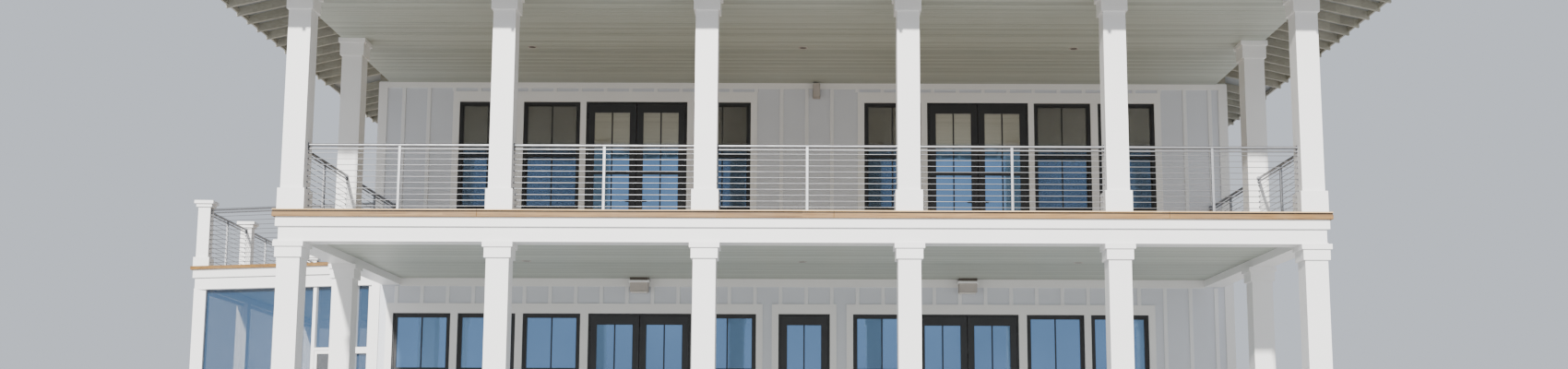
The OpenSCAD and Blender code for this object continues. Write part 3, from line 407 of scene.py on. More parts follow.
def concrete_group():
    """Broomed concrete with pores, damp patches and sawn joints."""
    tree, given, out, place = new_group("broomed concrete", Colour=COLOUR, Joint=VALUE)
    broom = noise(tree, vectors(tree, "MULTIPLY", place, (3.0, 90.0, 3.0)), 1.0, 3.0, 0.6)
    pores = spread(tree, noise(tree, place, 60.0, 5.0, 0.7), 0.35, 0.5, 0.75, 1.0)
    damp = spread(tree, noise(tree, place, 0.9, 4.0, 0.6), 0.35, 0.7, 0.82, 1.08)
    scaled = times(tree, place, maths(tree, "DIVIDE", 1.0, given["Joint"]))
    cell = put(tree, "VectorMath", {0: scaled}, operation="FRACTION").outputs[0]
    joint = maths(tree, "MINIMUM", *(
        spread(tree, coordinate(tree, cell, axis), 0.0, 0.006, 0.55, 1.0) for axis in "XY"))
    tone = maths(tree, "MULTIPLY", maths(tree, "MULTIPLY", damp, pores), joint)
    return send(tree, out, Colour=times(tree, given["Colour"], tone),
                Roughness=spread(tree, pores, 0.75, 1.0, 0.95, 0.78),
                Height=maths(tree, "ADD", joint, broom))


def glass_group():
    """Glass that is not quite even, with a little dust; on the windows its colour is painted
    reflection, of the sky low down and of the porch ceiling high up.
    """
    tree, given, out, place = new_group(
        "window sheen", Colour=COLOUR, Upstairs=COLOUR, Dust=VALUE)
    height = coordinate(tree, place, "Z")
    cloud = spread(tree, noise(tree, place, 0.45, 2.0), 0.35, 0.65, 0.9, 1.1)
    glass_colour_and_painted_reflection = blended(tree, spread(tree, height, *TONE_CHANGE),
                   given["Colour"], given["Upstairs"])
    dust = spread(tree, noise(tree, place, 6.0, 5.0, 0.7), 0.45, 0.75)
    return send(tree, out, Colour=times(tree, glass_colour_and_painted_reflection, cloud),
                Roughness=maths(tree, "MULTIPLY_ADD", dust, given["Dust"], 0.03),
                Height=maths(tree, "MULTIPLY", noise(tree, place, 1.7, 1.0), height))


def mesh_group():
    """Wire mesh: crossing wires that leave square gaps."""
    tree, given, out, place = new_group(
        "wire mesh", {**SURFACE, "Cover": VALUE}, Colour=COLOUR, Cell=VALUE, Wire=VALUE)
    run = maths(tree, "ADD", coordinate(tree, place, "X"), coordinate(tree, place, "Y"))
    wires = []
    for way in (run, coordinate(tree, place, "Z")):
        cell = maths(tree, "FRACT", maths(tree, "DIVIDE", way, given["Cell"]))
        wires.append(maths(tree, "LESS_THAN", cell, given["Wire"]))
    cover = maths(tree, "MAXIMUM", *wires)
    return send(tree, out, Colour=given["Colour"], Height=cover,
                Roughness=spread(tree, noise(tree, place, 40.0), 0.3, 0.7, 0.45, 0.6),
                Cover=spread(tree, cover, 0.0, 1.0, 0.06, 0.8))


def surface(name, group, relief=0.2, depth=0.002, **values):
    """A material whose colour, roughness and relief come from a shared effect.

    Its values go to the effect's inputs, or else to the shader's."""
    material = bpy.data.materials.new(name)
    material.use_nodes = True
    tree = material.node_tree
    shader = tree.nodes["Principled BSDF"]
    effect = put(tree, "Group", node_tree=group)
    tree.links.new(effect.outputs["Colour"], shader.inputs["Base Color"])
    tree.links.new(effect.outputs["Roughness"], shader.inputs["Roughness"])
    bump = put(tree, "Bump", {"Strength": relief, "Distance": depth,
                              "Height": effect.outputs["Height"]})
    tree.links.new(bump.outputs["Normal"], shader.inputs["Normal"])
    if "Cover" in effect.outputs:
        tree.links.new(effect.outputs["Cover"], shader.inputs["Alpha"])
    for label, value in values.items():
        label = label.replace("_", " ")
        inputs = effect.inputs if label in effect.inputs else shader.inputs
        inputs[label].default_value = value
    return material


paint, timber, metal = paint_group(), timber_group(), metal_group()
concrete, glass, wire = concrete_group(), glass_group(), mesh_group()
UPRIGHT, LEVEL = (55.0, 55.0, 2.0), (2.0, 55.0, 55.0)
# The wing's glass is a dark blue, half-opaque sheet: painted shade that dims the wing's inside,
# and painted reflection of the sky
WING_GLASS_SHADE_AND_REFLECTION = (0.03, 0.08, 0.17, 1)

# Siding and battens are one white paint: the siding's darker, bluer colour is painted shade
# between the battens and painted blue skylight
siding_paint_with_painted_shade, batten_paint, trim_paint, column_paint = (
    surface(name, paint, relief, Colour=colour, Patches=patches, Sheen=gloss, Brush=brush)
    for name, colour, patches, gloss, brush, relief in (
        ("siding paint with painted shade", (0.645, 0.672, 0.73, 1), 0.025, 0.58, UPRIGHT, 0.2),
        ("batten paint", (0.78, 0.79, 0.81, 1), 0.02, 0.52, UPRIGHT, 0.2),
        ("trim paint", (0.82, 0.82, 0.82, 1), 0.015, 0.42, LEVEL, 0.12),
        ("column paint", (0.83, 0.83, 0.83, 1), 0.015, 0.40, UPRIGHT, 0.12)))
ceiling_paint = surface(
    "ceiling stain", timber, 0.15, Light=(0.43, 0.465, 0.42, 1), Dark=(0.38, 0.415, 0.37, 1),
    Silver=0.12, Across=(0, 1, 0), Pitch=sum(CEILING_BOARD), Stretch=(1.2, 26.0, 26.0))
eave_stain = surface(
    "eave stain", timber, 0.3, Light=(0.36, 0.35, 0.29, 1), Dark=(0.27, 0.26, 0.21, 1),
    Silver=0.25, Across=(1, 1, 0), Pitch=0.2, Stretch=(9.0, 9.0, 30.0))
deck_timber = surface(
    "deck timber", timber, 0.35, Light=(0.46, 0.37, 0.26, 1), Dark=(0.31, 0.24, 0.165, 1),
    Silver=0.45, Across=(0, 1, 0), Pitch=sum(DECK_BOARD), Stretch=(1.5, 30.0, 30.0))
# The groove's near-black timber is painted shade in the gap under the nosing
edge_timber, nosing_timber, groove_painted_shade = (
    surface(name, timber, relief, Light=light, Dark=dark, Silver=silver, Across=(1, 0, 0),
            Pitch=PORCH_PIECE, Stretch=(1.3, 24.0, 40.0))
    for name, light, dark, silver, relief in (
        ("edge timber", (0.31, 0.165, 0.035, 1), (0.15, 0.068, 0.012, 1), 0.05, 0.3),
        ("nosing timber", (0.72, 0.52, 0.29, 1), (0.56, 0.37, 0.18, 1), 0.05, 0.3),
        ("groove painted shade", (0.05, 0.03, 0.015, 1), (0.03, 0.018, 0.01, 1), 0.03, 0.2)))
framing_timber = surface(
    "framing timber", timber, 0.3, Light=(0.55, 0.42, 0.28, 1), Dark=(0.43, 0.31, 0.19, 1),
    Silver=0.1, Across=(1, 0, 0), Pitch=0.406, Stretch=(20.0, 1.5, 20.0))
frame_paint = surface(
    "black frame paint", metal, 0.08, Colour=(0.021, 0.022, 0.025, 1), Sheen=0.36,
    Stains=0.12, Stretch=(40.0, 40.0, 6.0))
roof_metal = surface(
    "roof metal", metal, 0.1, 0.004, Colour=(0.40, 0.42, 0.43, 1), Sheen=0.42, Stains=0.14,
    Stretch=(6.0, 6.0, 6.0), Metallic=0.55)
rail_metal = surface(
    "brushed rail steel", metal, 0.08, 0.001, Colour=(0.26, 0.265, 0.28, 1), Sheen=0.40,
    Stains=0.12, Stretch=(8.0, 160.0, 160.0), Metallic=1.0)
lamp_metal, lamp_bronze = (
    surface(name, metal, 0.1, 0.001, Colour=colour, Sheen=gloss, Stains=0.2,
            Stretch=(30.0, 30.0, 30.0))
    for name, colour, gloss in (("lamp metal", (0.48, 0.44, 0.41, 1), 0.45),
                                ("dark lamp bronze", (0.085, 0.07, 0.058, 1), 0.4)))
lamp_lens = surface(
    "lamp lens", glass, 0.05, 0.001, Colour=(0.62, 0.61, 0.57, 1),
    Upstairs=(0.55, 0.54, 0.50, 1), Dust=0.3, Emission_Color=(1.0, 0.92, 0.8, 1),
    Emission_Strength=0.05)
slab_concrete = surface(
    "slab concrete", concrete, 0.4, 0.004, Colour=(0.50, 0.49, 0.47, 1), Joint=2.75)
# Painted reflection: the blue tints the mirror-like glass as the sky would, and the upstairs
# colour as the porch ceiling would
window_sheen = surface(
    "window glass", glass, 0.02, 0.01, Colour=(0.19, 0.34, 0.57, 1),
    Upstairs=(0.56, 0.545, 0.50, 1), Dust=0.06, Metallic=0.82, Coat_Weight=0.3)
wing_glass_painted_shade = surface("wing glass with painted shade", glass, 0.02, 0.01, Colour=WING_GLASS_SHADE_AND_REFLECTION,
                      Upstairs=WING_GLASS_SHADE_AND_REFLECTION, Dust=0.05, Alpha=0.42)
door_mesh, window_mesh, wing_mesh = (
    surface(name, wire, 0.1, 0.001, Colour=(0.06, 0.062, 0.065, 1), Cell=0.012, Wire=thick,
            Metallic=0.4)
    for name, thick in (("door screen", 0.28), ("window screen", 0.13),
                        ("insect screen", 0.1)))


def named(word):
    """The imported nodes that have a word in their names."""
    return [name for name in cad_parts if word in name]


LEAVES = ("left_pair_left", "left_pair_right", "right_pair_left", "right_pair_right", "single")
NODE_FINISHES = {
    siding_paint_with_painted_shade: named("wall"),
    trim_paint: ("porch_beam_front", "porch_beam_sides", "front_trim", "house_trim",
                 "wing_beams", "wing_front_frame", "wing_screens", "wing_door_leaf"),
    column_paint: (*named("columns"), "wing_posts"),
    ceiling_paint: named("ceiling"),
    eave_stain: named("eave"),
    deck_timber: ("deck_boards",),
    edge_timber: ("deck_edge", "wing_deck"),
    framing_timber: ("upper_floor", "deck_joists"),
    roof_metal: ("roof",),
    rail_metal: named("railing"),
    frame_paint: ("front_windows", "house_windows", "upper_doors", "door_frames",
                  *(leaf + "_leaf" for leaf in LEAVES)),
    window_sheen: named("glass"),
    wing_glass_painted_shade: ("wing_glazing",),
    lamp_metal: ("porch_lights",),
    slab_concrete: ("foundation",),
    door_mesh: ("wing_door_mesh",),
}
for material, nodes in NODE_FINISHES.items():
    for node in nodes:
        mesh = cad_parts[node].data
        mesh.materials.clear()
        mesh.materials.append(material)

# ---- walls: battens, window bars and screens ----

WALLS = {
    "front": Matrix.Identity(4),
    "right": shift(HALF) @ turned(90),
    "left": shift(-HALF) @ turned(-90),
    "back": shift(0, DEPTH) @ turned(180),
}
# Window centres along each of the other walls, seen from outside
HOUSE_WINDOWS = {"right": SIDE_WINDOWS, "left": [-y for y in SIDE_WINDOWS],
                 "back": BACK_WINDOWS}


def free_runs(low, high, taken):
    """The stretches from low to high that none of the taken stretches covers."""
    runs = [(low, high)]
    for a, b in taken:
        runs = [part for lo, hi in runs for part in ((lo, min(hi, a)), (max(lo, b), hi))
                if part[1] - part[0] > SHORTEST_BATTEN]
    return runs


def batten():
    """A metre of batten up from the origin, its outer face towards -Y."""
    piece = block("batten", (-BATTEN_W / 2, -BATTEN_T, 0), (BATTEN_W / 2, 0, 1))
    shape(piece, "edges", lambda at, run: upright(at, run) and at.y < -BATTEN_T / 2,
          bevelled(WORN))
    return piece


def battens(name, wall, levels, openings):
    """Battens on one storey of a wall, left out where an opening and its boards are."""
    start, stop = BATTEN_ENDS[wall]
    first = BATTEN_FIRST + BATTEN_PITCH * math.ceil((start - BATTEN_FIRST) / BATTEN_PITCH)
    places = []
    for k in range(math.ceil((stop - first) / BATTEN_PITCH)):
        x = first + k * BATTEN_PITCH
        taken = [(low, high) for centre, half, low, high in openings
                 if abs(x - centre) < half + BATTEN_W / 2 + BATTEN_ROOM]
        places += [WALLS[wall] @ shift(x, 0, low) @ stretched(z=high - low)
                   for low, high in free_runs(*levels, taken)]
    dress(stamp(name, batten(), places), batten_paint)


def window_taken(centre, floor, head_board, foot):
    return (centre, WINDOW_W / 2 + CASING, floor + HEAD - WINDOW_H - foot,
            floor + HEAD + head_board)


def door_taken(centre, width, floor, head_board):
    return (centre, width / 2 + CASING, floor, floor + HEAD + head_board)


corner = CORNER_BOARD + BATTEN_W / 2
across = (corner - HALF, HALF - corner)
BATTEN_ENDS = {"front": across, "right": (corner, DEPTH - corner),
               "left": (corner - DEPTH, -corner), "back": across}
battens("lower_front_battens", "front", (FLOOR, LOWER_CEILING - FRIEZE_LOWER),
        [window_taken(x, FLOOR, HEAD_BOARD_LOWER, SILL_H) for x in LOWER_WINDOWS]
        + [door_taken(x, PAIR_W, FLOOR, HEAD_BOARD_LOWER) for x in LOWER_PAIRS]
        + [door_taken(SINGLE_DOOR, SINGLE_W, FLOOR, HEAD_BOARD_LOWER)])
battens("upper_front_battens", "front", (DECK, UPPER_CEILING - FRIEZE_UPPER),
        [window_taken(x, DECK, HEAD_BOARD_UPPER, SILL_H) for x in UPPER_WINDOWS]
        + [door_taken(x, PAIR_W, DECK, HEAD_BOARD_UPPER) for x in UPPER_PAIRS])
for wall, centres in HOUSE_WINDOWS.items():
    taken = [window_taken(x, floor, CASING, CASING) for x in centres for floor in (FLOOR, DECK)]
    if wall == "left":
        taken.append((*WING_MEETS, BEAM_FOOT, WING_DECK))
    battens(wall + "_battens", wall, (FLOOR, UPPER_CEILING), taken)


def worn_bar(low, high, front, back):
    """An upright bar of a window or door, its long edges bevelled."""
    bar = block("bar", (-BAR_HALF, front, low), (BAR_HALF, back, high))
    shape(bar, "edges", upright, bevelled(WORN))
    return bar


# The outer faces of a window's two sashes, and how far bars lie inside a sash's faces
UPPER_SASH, LOWER_SASH, BAR_IN = 0.030, 0.068, 0.004


def sash_bars():
    """The upright bars of one window's two sashes, the window's foot at the origin."""
    foot, head, middle = FRAME_W + SASH_W, WINDOW_H - FRAME_W - SASH_W, WINDOW_H / 2
    return joined("sash_bars", [
        worn_bar(low, high, face + BAR_IN, face + SASH_T - BAR_IN)
        for face, low, high in ((UPPER_SASH, middle + SASH_W / 2, head),
                                (LOWER_SASH, foot, middle - SASH_W / 2))])


def at_windows(walls, *floors):
    """Places of the feet of the windows along some walls, on one or both floors."""
    return [WALLS[wall] @ shift(x, 0, floor + HEAD - WINDOW_H)
            for wall, centres in walls.items() for x in centres for floor in floors]


dress(stamp("front_window_bars", sash_bars(),
            at_windows({"front": LOWER_WINDOWS}, FLOOR)
            + at_windows({"front": UPPER_WINDOWS}, DECK)),
      frame_paint)
dress(stamp("house_window_bars", sash_bars(), at_windows(HOUSE_WINDOWS, FLOOR, DECK)),
      frame_paint)

# Insect screens upstairs: the frame's outer and inner face, its bars, and the mesh in it
SCREEN_OUT, SCREEN_IN, SCREEN_BAR = 0.017, 0.029, 0.018
MESH_OUT, MESH_IN, MESH_EDGE = 0.022, 0.025, 0.012


def screen_frame():
    """The frame of a full-height insect screen outside a window's sashes."""
    side, foot, head = WINDOW_W / 2 - FRAME_W, FRAME_W, WINDOW_H - FRAME_W
    frames = [((x, foot), (x + SCREEN_BAR, head)) for x in (-side, side - SCREEN_BAR)]
    frames += [((-side + SCREEN_BAR, z), (side - SCREEN_BAR, z + SCREEN_BAR))
               for z in (foot, (WINDOW_H - SCREEN_BAR) / 2, head - SCREEN_BAR)]
    return joined("screen_frame", [
        soften(block("bar", (x0, SCREEN_OUT, z0), (x1, SCREEN_IN, z1)), 0.002)
        for (x0, z0), (x1, z1) in frames])


def screen_sheet():
    """The wire mesh of one window screen, with the rolled edge that holds it."""
    border = FRAME_W + SCREEN_BAR
    side, head = WINDOW_W / 2 - border, WINDOW_H - border
    sheet = block("mesh", (-side, MESH_OUT, border), (side, MESH_IN, head))
    shape(sheet, "faces", facing("y"), inset(MESH_EDGE))
    return sheet


screened = at_windows({"front": UPPER_WINDOWS, **HOUSE_WINDOWS}, DECK)
dress(stamp("window_screen_frames", screen_frame(), screened), frame_paint)
dress(stamp("window_screens", screen_sheet(), screened), window_mesh)

# Bars of the glazed doors: one upright bar down the middle of each sheet of glass
LEAF_BOTTOM, LEAF_MID, LEAF_MID_H, LEAF_TOP = 0.232, 1.45, 0.06, 2.512
JAMB_GAPS, MEETING_GAP = 0.012, 0.01
PAIR_LEAF_W = (PAIR_W - 2 * FRAME_W - JAMB_GAPS - MEETING_GAP) / 2
LEAF_BAR_FRONT, LEAF_BAR_BACK = -0.013, 0.018


def leaf_bars():
    """Upright bars for a leaf whose middle and foot are at the origin."""
    return joined("bars", [
        worn_bar(low, high, LEAF_BAR_FRONT, LEAF_BAR_BACK)
        for low, high in ((LEAF_BOTTOM, LEAF_MID), (LEAF_MID + LEAF_MID_H, LEAF_TOP))])


def leaf_middles(pairs):
    """Middles of the leaves of some pairs of doors, from left to right."""
    return [pair + side * (MEETING_GAP + PAIR_LEAF_W) / 2
            for pair in pairs for side in (-1, 1)]


for leaf, x in zip(LEAVES, (*leaf_middles(LOWER_PAIRS), SINGLE_DOOR)):
    body = leaf + "_door"
    dress(stamp(body + "_bars", leaf_bars(), [shift(x, 0, FLOOR)]),
          frame_paint, body)
dress(stamp("upper_door_bars", leaf_bars(), [
    shift(x, 0, DECK) for x in leaf_middles(UPPER_PAIRS)]), frame_paint)


# ---- boards of decks and ceilings ----

def laid_boards(name, corners, turn, levels, kind, piece=0.0, worn_side=-1):
    """Boards over a convex outline, corners in turn to the left, cut along its sides.

    They run along the X axis turned by some degrees, whole or in pieces of one length.
    Their long edges are worn on the upper side (1) or the lower side (-1)."""
    spin = turned(turn)
    flat = [spin.inverted() @ Vector((x, y, 0)) for x, y in corners]
    x0, x1 = min(p.x for p in flat) - OVERLONG, max(p.x for p in flat) + OVERLONG
    y0, y1 = min(p.y for p in flat), max(p.y for p in flat)
    (low, high), (width, gap) = levels, kind
    board = block("board", (0, 0, low), (1, width, high))
    shape(board, "edges",
          lambda at, run: abs(run.x) > STRAIGHT and worn_side * (at.z - (low + high) / 2) > 0,
          bevelled(min(WORN, (high - low) / 2)))
    places = []
    for row in range(math.ceil((y1 - y0) / (width + gap))):
        y = y0 + row * (width + gap)
        stops = [x0, x1]
        if piece:
            first = x0 + piece * (FIRST_STOP + NEXT_STOP * (row * 2 % 5) / 2)
            inner_stops = [first + k * piece for k in range(int((x1 - x0) / piece) + 1)]
            stops = [x0, *[x for x in inner_stops if x < x1 - SHORTEST_PIECE], x1]
        for a, b in zip(stops, stops[1:]):
            length = b - a - (BUTT_JOINT if piece else 0)
            places.append(spin @ shift(a, y) @ stretched(x=length))
    boards = stamp(name, board, places)
    for (ax, ay), (bx, by) in zip(corners, (*corners[1:], corners[0])):
        outward = Vector((by - ay, ax - bx, 0)).normalized()
        shape(boards, "faces", lambda at, normal: True,
              lambda: bpy.ops.mesh.bisect(plane_co=(ax, ay, 0), plane_no=outward,
                                          use_fill=True, clear_outer=True))
    return boards


def rectangle(x0, y0, x1, y1):
    return ((x0, y0), (x1, y0), (x1, y1), (x0, y1))


def ceiling_boards(name, corners, turn, level):
    """Narrow boards under a ceiling, their lower face at a level."""
    boards = laid_boards(name, corners, turn, (level - CEILING_T, level), CEILING_BOARD)
    dress(boards, ceiling_paint)


deck_low, deck_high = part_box("deck_boards")
dress(laid_boards("porch_deck_boards",
                  rectangle(deck_low.x, deck_low.y, deck_high.x, deck_high.y), 0,
                  (deck_low.z, deck_high.z), DECK_BOARD, PORCH_PIECE, 1),
      deck_timber, stands_for=("deck_boards",))
beam_in = COLUMN_FACE - COLUMN
ceiling_boards("lower_ceiling_boards", rectangle(-beam_in, -PORCH + COLUMN, beam_in, 0), 0,
               LOWER_CEILING)
ceiling_boards("upper_ceiling_boards",
               rectangle(-COLUMN_FACE, -PORCH, COLUMN_FACE, -TRIM_T), 0, UPPER_CEILING)


# Wooden edge of the deck: long lengths with butt joints, a rounded nosing over a groove painted
# near-black as shade. The board and the groove lie behind the nosing's face.
EDGE_T, NOSING_H, GROOVE_H = 0.06, 0.017, 0.022
BOARD_IN, GROOVE_IN, GROOVE_LAP = 0.003, 0.024, 0.001
FRONT_JOINTS, SIDE_JOINT = (-4.35, 0.42, 4.9), -2.3


def edge_length(x0, x1):
    """A length of edge along +X, its outer face towards -Y at the origin, foot at z = 0."""
    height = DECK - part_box("deck_edge")[0].z
    top = height - NOSING_H
    board = soften(block("board", (x0, BOARD_IN, 0), (x1, EDGE_T, top - GROOVE_H)))
    groove = block("groove", (x0, GROOVE_IN, top - GROOVE_H - GROOVE_LAP),
                   (x1, EDGE_T, top + GROOVE_LAP))
    shape(groove, "faces", facing("y", -1), inset(0.002, -0.002))
    nosing = block("nosing", (x0, 0, top), (x1, EDGE_T, height))
    return board, groove, soften(nosing, 0.005, 3)


def edge_boards():
    """The boards, grooves and nosings along the front and both sides of the deck."""
    low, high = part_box("deck_edge")
    stops = (low.x, *FRONT_JOINTS, high.x)
    runs = [(a, b - BUTT_JOINT, shift(0, low.y, low.z)) for a, b in zip(stops, stops[1:])]
    for a, b in ((low.y + EDGE_T + BUTT_JOINT, SIDE_JOINT - BUTT_JOINT), (SIDE_JOINT, high.y)):
        runs.append((-b, -a, shift(low.x, 0, low.z) @ turned(-90)))
        runs.append((a, b, shift(high.x, 0, low.z) @ turned(90)))
    kinds = ([], [], [])
    for a, b, place in runs:
        for kind, part in zip(kinds, edge_length(a, b)):
            part.data.transform(place)
            kind.append(part)
    names = ("porch_edge_boards", "porch_edge_grooves", "porch_nosings")
    return [joined(name, kind) for name, kind in zip(names, kinds)]


boards, grooves, nosings = edge_boards()
dress(boards, edge_timber, stands_for=("deck_edge",))
dress(grooves, groove_painted_shade)
dress(nosings, nosing_timber)


# ---- roof: standing seams and the boards under the eaves ----

def seam():
    """A metre of folded seam along +X on the plane z = 0."""
    piece = block("seam", (0, -0.011, 0), (1, 0.011, 0.012))
    shape(piece, "faces", facing("z", 1), inset(0.006), pushed(0, 0, 0.014))
    return piece


def slope(run_turn, start, length):
    """Place of a strip that runs up a roof slope from a point on the eave."""
    rise = Matrix.Identity(4)
    rise[2][0] = PITCH
    return shift(*start) @ turned(run_turn) @ rise @ stretched(x=length)


def seam_rows(half):
    """Distances of the seams from the middle of an eave, out to half its length."""
    last = int(half / SEAM_PITCH)
    return [k * SEAM_PITCH for k in range(-last, last + 1)]


def roof_seams():
    """Seams up all four slopes, from the eaves to the caps on the ridge and the hips."""
    top = EAVE_Z + ROOF_T
    hip_cap = CAP_HALF * math.sqrt(2)
    half, middle = (EAVE_BACK - EAVE_FRONT) / 2, (EAVE_BACK + EAVE_FRONT) / 2
    strips = []
    for x in seam_rows(EAVE_X):
        length = EAVE_X - abs(x) - hip_cap
        strips += [(90, (x, EAVE_FRONT + SEAM_SET_IN, top), length),
                   (-90, (x, EAVE_BACK - SEAM_SET_IN, top), length)]
    for y in seam_rows(half):
        length = min(half - abs(y) - hip_cap, EAVE_X - CAP_HALF)
        strips += [(0, (-EAVE_X + SEAM_SET_IN, middle + y, top), length),
                   (180, (EAVE_X - SEAM_SET_IN, middle + y, top), length)]
    return stamp("roof_seams", seam(), [
        slope(*strip) for strip in strips if strip[-1] > SHORTEST_SEAM])


dress(roof_seams(), roof_metal)


# Levels of the eave boards under the roof's underside, and their room to its edge
UNDER_ROOF, BEHIND_FASCIA = (-0.009, -0.001), 0.036


def eave_boards():
    """Boards on the underside of the roof, laid along the eaves between the hips."""
    out_x, in_x = EAVE_X - BEHIND_FASCIA, COLUMN_FACE
    front, back = EAVE_FRONT + BEHIND_FASCIA, EAVE_BACK - BEHIND_FASCIA
    in_front, in_back = EAVE_FRONT + OVERHANG, EAVE_BACK - OVERHANG
    reach = out_x - in_x
    sides = (
        (((-out_x, front), (out_x, front), (HALF, in_front), (-HALF, in_front)),
         0, (0, 1), EAVE_FRONT),
        (((out_x, back), (-out_x, back), (-HALF, in_back), (HALF, in_back)),
         0, (0, -1), -EAVE_BACK),
        (((out_x, front), (out_x, back), (in_x, back - reach), (in_x, front + reach)),
         90, (-1, 0), -EAVE_X),
        (((-out_x, back), (-out_x, front), (-in_x, front + reach), (-in_x, back - reach)),
         90, (1, 0), -EAVE_X),
    )
    parts = []
    for corners, turn, (ux, uy), start in sides:
        boards = laid_boards("eave_boards", corners, turn, UNDER_ROOF, EAVE_BOARD)
        lean = Matrix.Identity(4)
        lean[2][0], lean[2][1], lean[2][3] = PITCH * ux, PITCH * uy, EAVE_Z - PITCH * start
        boards.data.transform(lean)
        parts.append(boards)
    return joined("eave_boards", parts)


dress(eave_boards(), eave_stain)

# ---- railings: cable ends and rail flanges ----

RAIL_TOP, RAIL_SUB, SUB_SIZE = 0.91, 0.858, 0.7
CABLE_FIRST, CABLE_PITCH = 0.076, 0.0806
CABLES = [CABLE_FIRST + k * CABLE_PITCH for k in range(10)]


def cable_end():
    """A swaged cable end along +X from a post's face at the origin."""
    piece = rod("cable_end", 0, "X", length=0.006, radius=0.013, sides=10)
    shape(piece, "faces", facing("x", 1),
          inset(0.005), pushed(0.034, 0, 0), inset(0.002), pushed(0.018, 0, 0))
    return piece


def rail_flange():
    """A round flange with a collar along +X from a post's face at the origin."""
    piece = rod("flange", 0, "X", length=0.006, radius=0.034, sides=18)
    shape(piece, "faces", facing("x", 1), inset(0.009), pushed(0.012, 0, 0))
    return piece


def rail_ends(runs, deck=DECK, cables=CABLES, raised=0.0):
    """Places of every cable end and flange for runs from point to point on a deck."""
    ends, flanges = [], []
    for a, b, foot_a, foot_b in runs:
        a, b = Vector(a), Vector(b)
        along = math.degrees(math.atan2(b.y - a.y, b.x - a.x))
        for point, turn, foot in ((a, along, foot_a), (b, along + 180, foot_b)):
            for height in cables:
                out = foot if height < PLINTH_H else 0.0
                ends.append(shift(point.x, point.y, deck + height) @ turned(turn) @ shift(out))
            for height in (RAIL_TOP, RAIL_SUB):
                size = 1.0 if height == RAIL_TOP else SUB_SIZE
                flanges.append(shift(point.x, point.y, deck + height + raised) @ turned(turn)
                               @ stretched(1, size, size))
    return ends, flanges


def dress_rails(prefix, ends, flanges):
    dress(stamp(prefix + "cable_ends", cable_end(), ends), rail_metal)
    dress(stamp(prefix + "rail_flanges", rail_flange(), flanges), rail_metal)


porch_runs = [
    ((a + HALF_COLUMN, COLUMN_Y), (b - HALF_COLUMN, COLUMN_Y), PLINTH_OUT, PLINTH_OUT)
    for a, b in zip(COLUMNS_X, COLUMNS_X[1:])]
for x in (COLUMNS_X[0], COLUMNS_X[-1]):
    porch_runs += [((x, COLUMN_Y + HALF_COLUMN), (x, SIDE_COLUMN_Y - HALF_COLUMN),
                    PLINTH_OUT, PLINTH_OUT),
                   ((x, SIDE_COLUMN_Y + HALF_COLUMN), (x, -TRIM_T), PLINTH_OUT, 0.0)]
dress_rails("", *rail_ends(porch_runs))


# ---- lamps ----

# The levels of a lantern count from this far under the ceiling
LANTERN_DOWN = 0.15


def hung(name, half_w, foot, head, out, back=TRIM_T):
    """A box on the wall's trim, out to its front."""
    return block(name, (-half_w, -out, foot), (half_w, -back, head))


def lanterns(name, part, test, step, edge=0.003, segments=1):
    """One part of the two box lanterns, with some faces inset and soft edges."""
    shape(part, "faces", test, step)
    return stamp(name, soften(part, edge, segments), [
        shift(x, 0, LOWER_CEILING - LANTERN_DOWN) for x in LOWER_PAIRS])


# Their panelled bodies, pale rims, dark necks up to the ceiling, and lenses
lamps = [lanterns("lantern", hung("lantern", half_w=0.148, foot=-0.095, head=0.058, out=0.232),
                  lambda at, normal: normal.y < -STRAIGHT or abs(normal.x) > STRAIGHT,
                  inset(0.014, -0.006, True))]
dress(lanterns("lantern_rims", hung("rim", half_w=0.170, foot=0.058, head=0.095, out=0.250),
               facing("z", -1), inset(0.014), 0.004), trim_paint)
dress(lanterns("lantern_necks",
               hung("neck", half_w=0.150, foot=0.095, head=LANTERN_DOWN, out=0.238),
               facing("y", -1), inset(0.01, -0.003)), lamp_bronze)
dress(lanterns("lamp_lenses",
               hung("lens", half_w=0.134, foot=-0.107, head=-0.094, out=0.218, back=0.036),
               facing("z", -1), inset(0.02), 0.004, 2), lamp_lens)

PLATE_OUT, WALL_LAMP_X, WALL_LAMP_FOOT = 0.036, 0.23, DECK + 2.757


def wall_lamp():
    """A small square lamp that shines up and down, on a back plate."""
    plate = soften(hung("plate", half_w=0.062, foot=0, head=0.264, out=PLATE_OUT), 0.004)
    shade = hung("shade", half_w=0.052, foot=0.012, head=0.252, out=0.144, back=PLATE_OUT)
    shape(shade, "faces", facing("z"), inset(0.008, -0.03, True))
    return joined("wall_lamp", [plate, soften(shade)])


lamps.append(stamp("wall_lamp", wall_lamp(), [shift(WALL_LAMP_X, 0, WALL_LAMP_FOOT)]))


def ceiling_ring():
    """The trim ring of a recessed light, its top against the ceiling at the origin."""
    ring = rod("ring", -0.012, "Z", length=0.012, radius=0.075, sides=32)
    shape(ring, "faces", facing("z", -1), inset(0.022), pushed(0, 0, 0.009))
    return soften(ring, 0.002)


def ceiling_lens():
    lens = rod("lens", -0.008, "Z", length=0.006, radius=0.052, sides=32)
    shape(lens, "faces", facing("z", -1), inset(0.012), pushed(0, 0, -0.002))
    return lens


# The recessed lights, as parts of the way to the outer column and of the porch's depth
SPOT_X, SPOT_Y = 0.6125 * COLUMNS_X[-1], -0.4423 * PORCH
spots = [shift(x, SPOT_Y, z) for x in (-SPOT_X, 0, SPOT_X)
         for z in (LOWER_CEILING, UPPER_CEILING)]
dress(stamp("spot_lenses", ceiling_lens(), spots), lamp_bronze)
dress(stamp("spot_rings", ceiling_ring(), spots), lamp_metal)
dress(joined("lamps", lamps), lamp_metal, stands_for=("porch_lights",))

# ---- wing ----

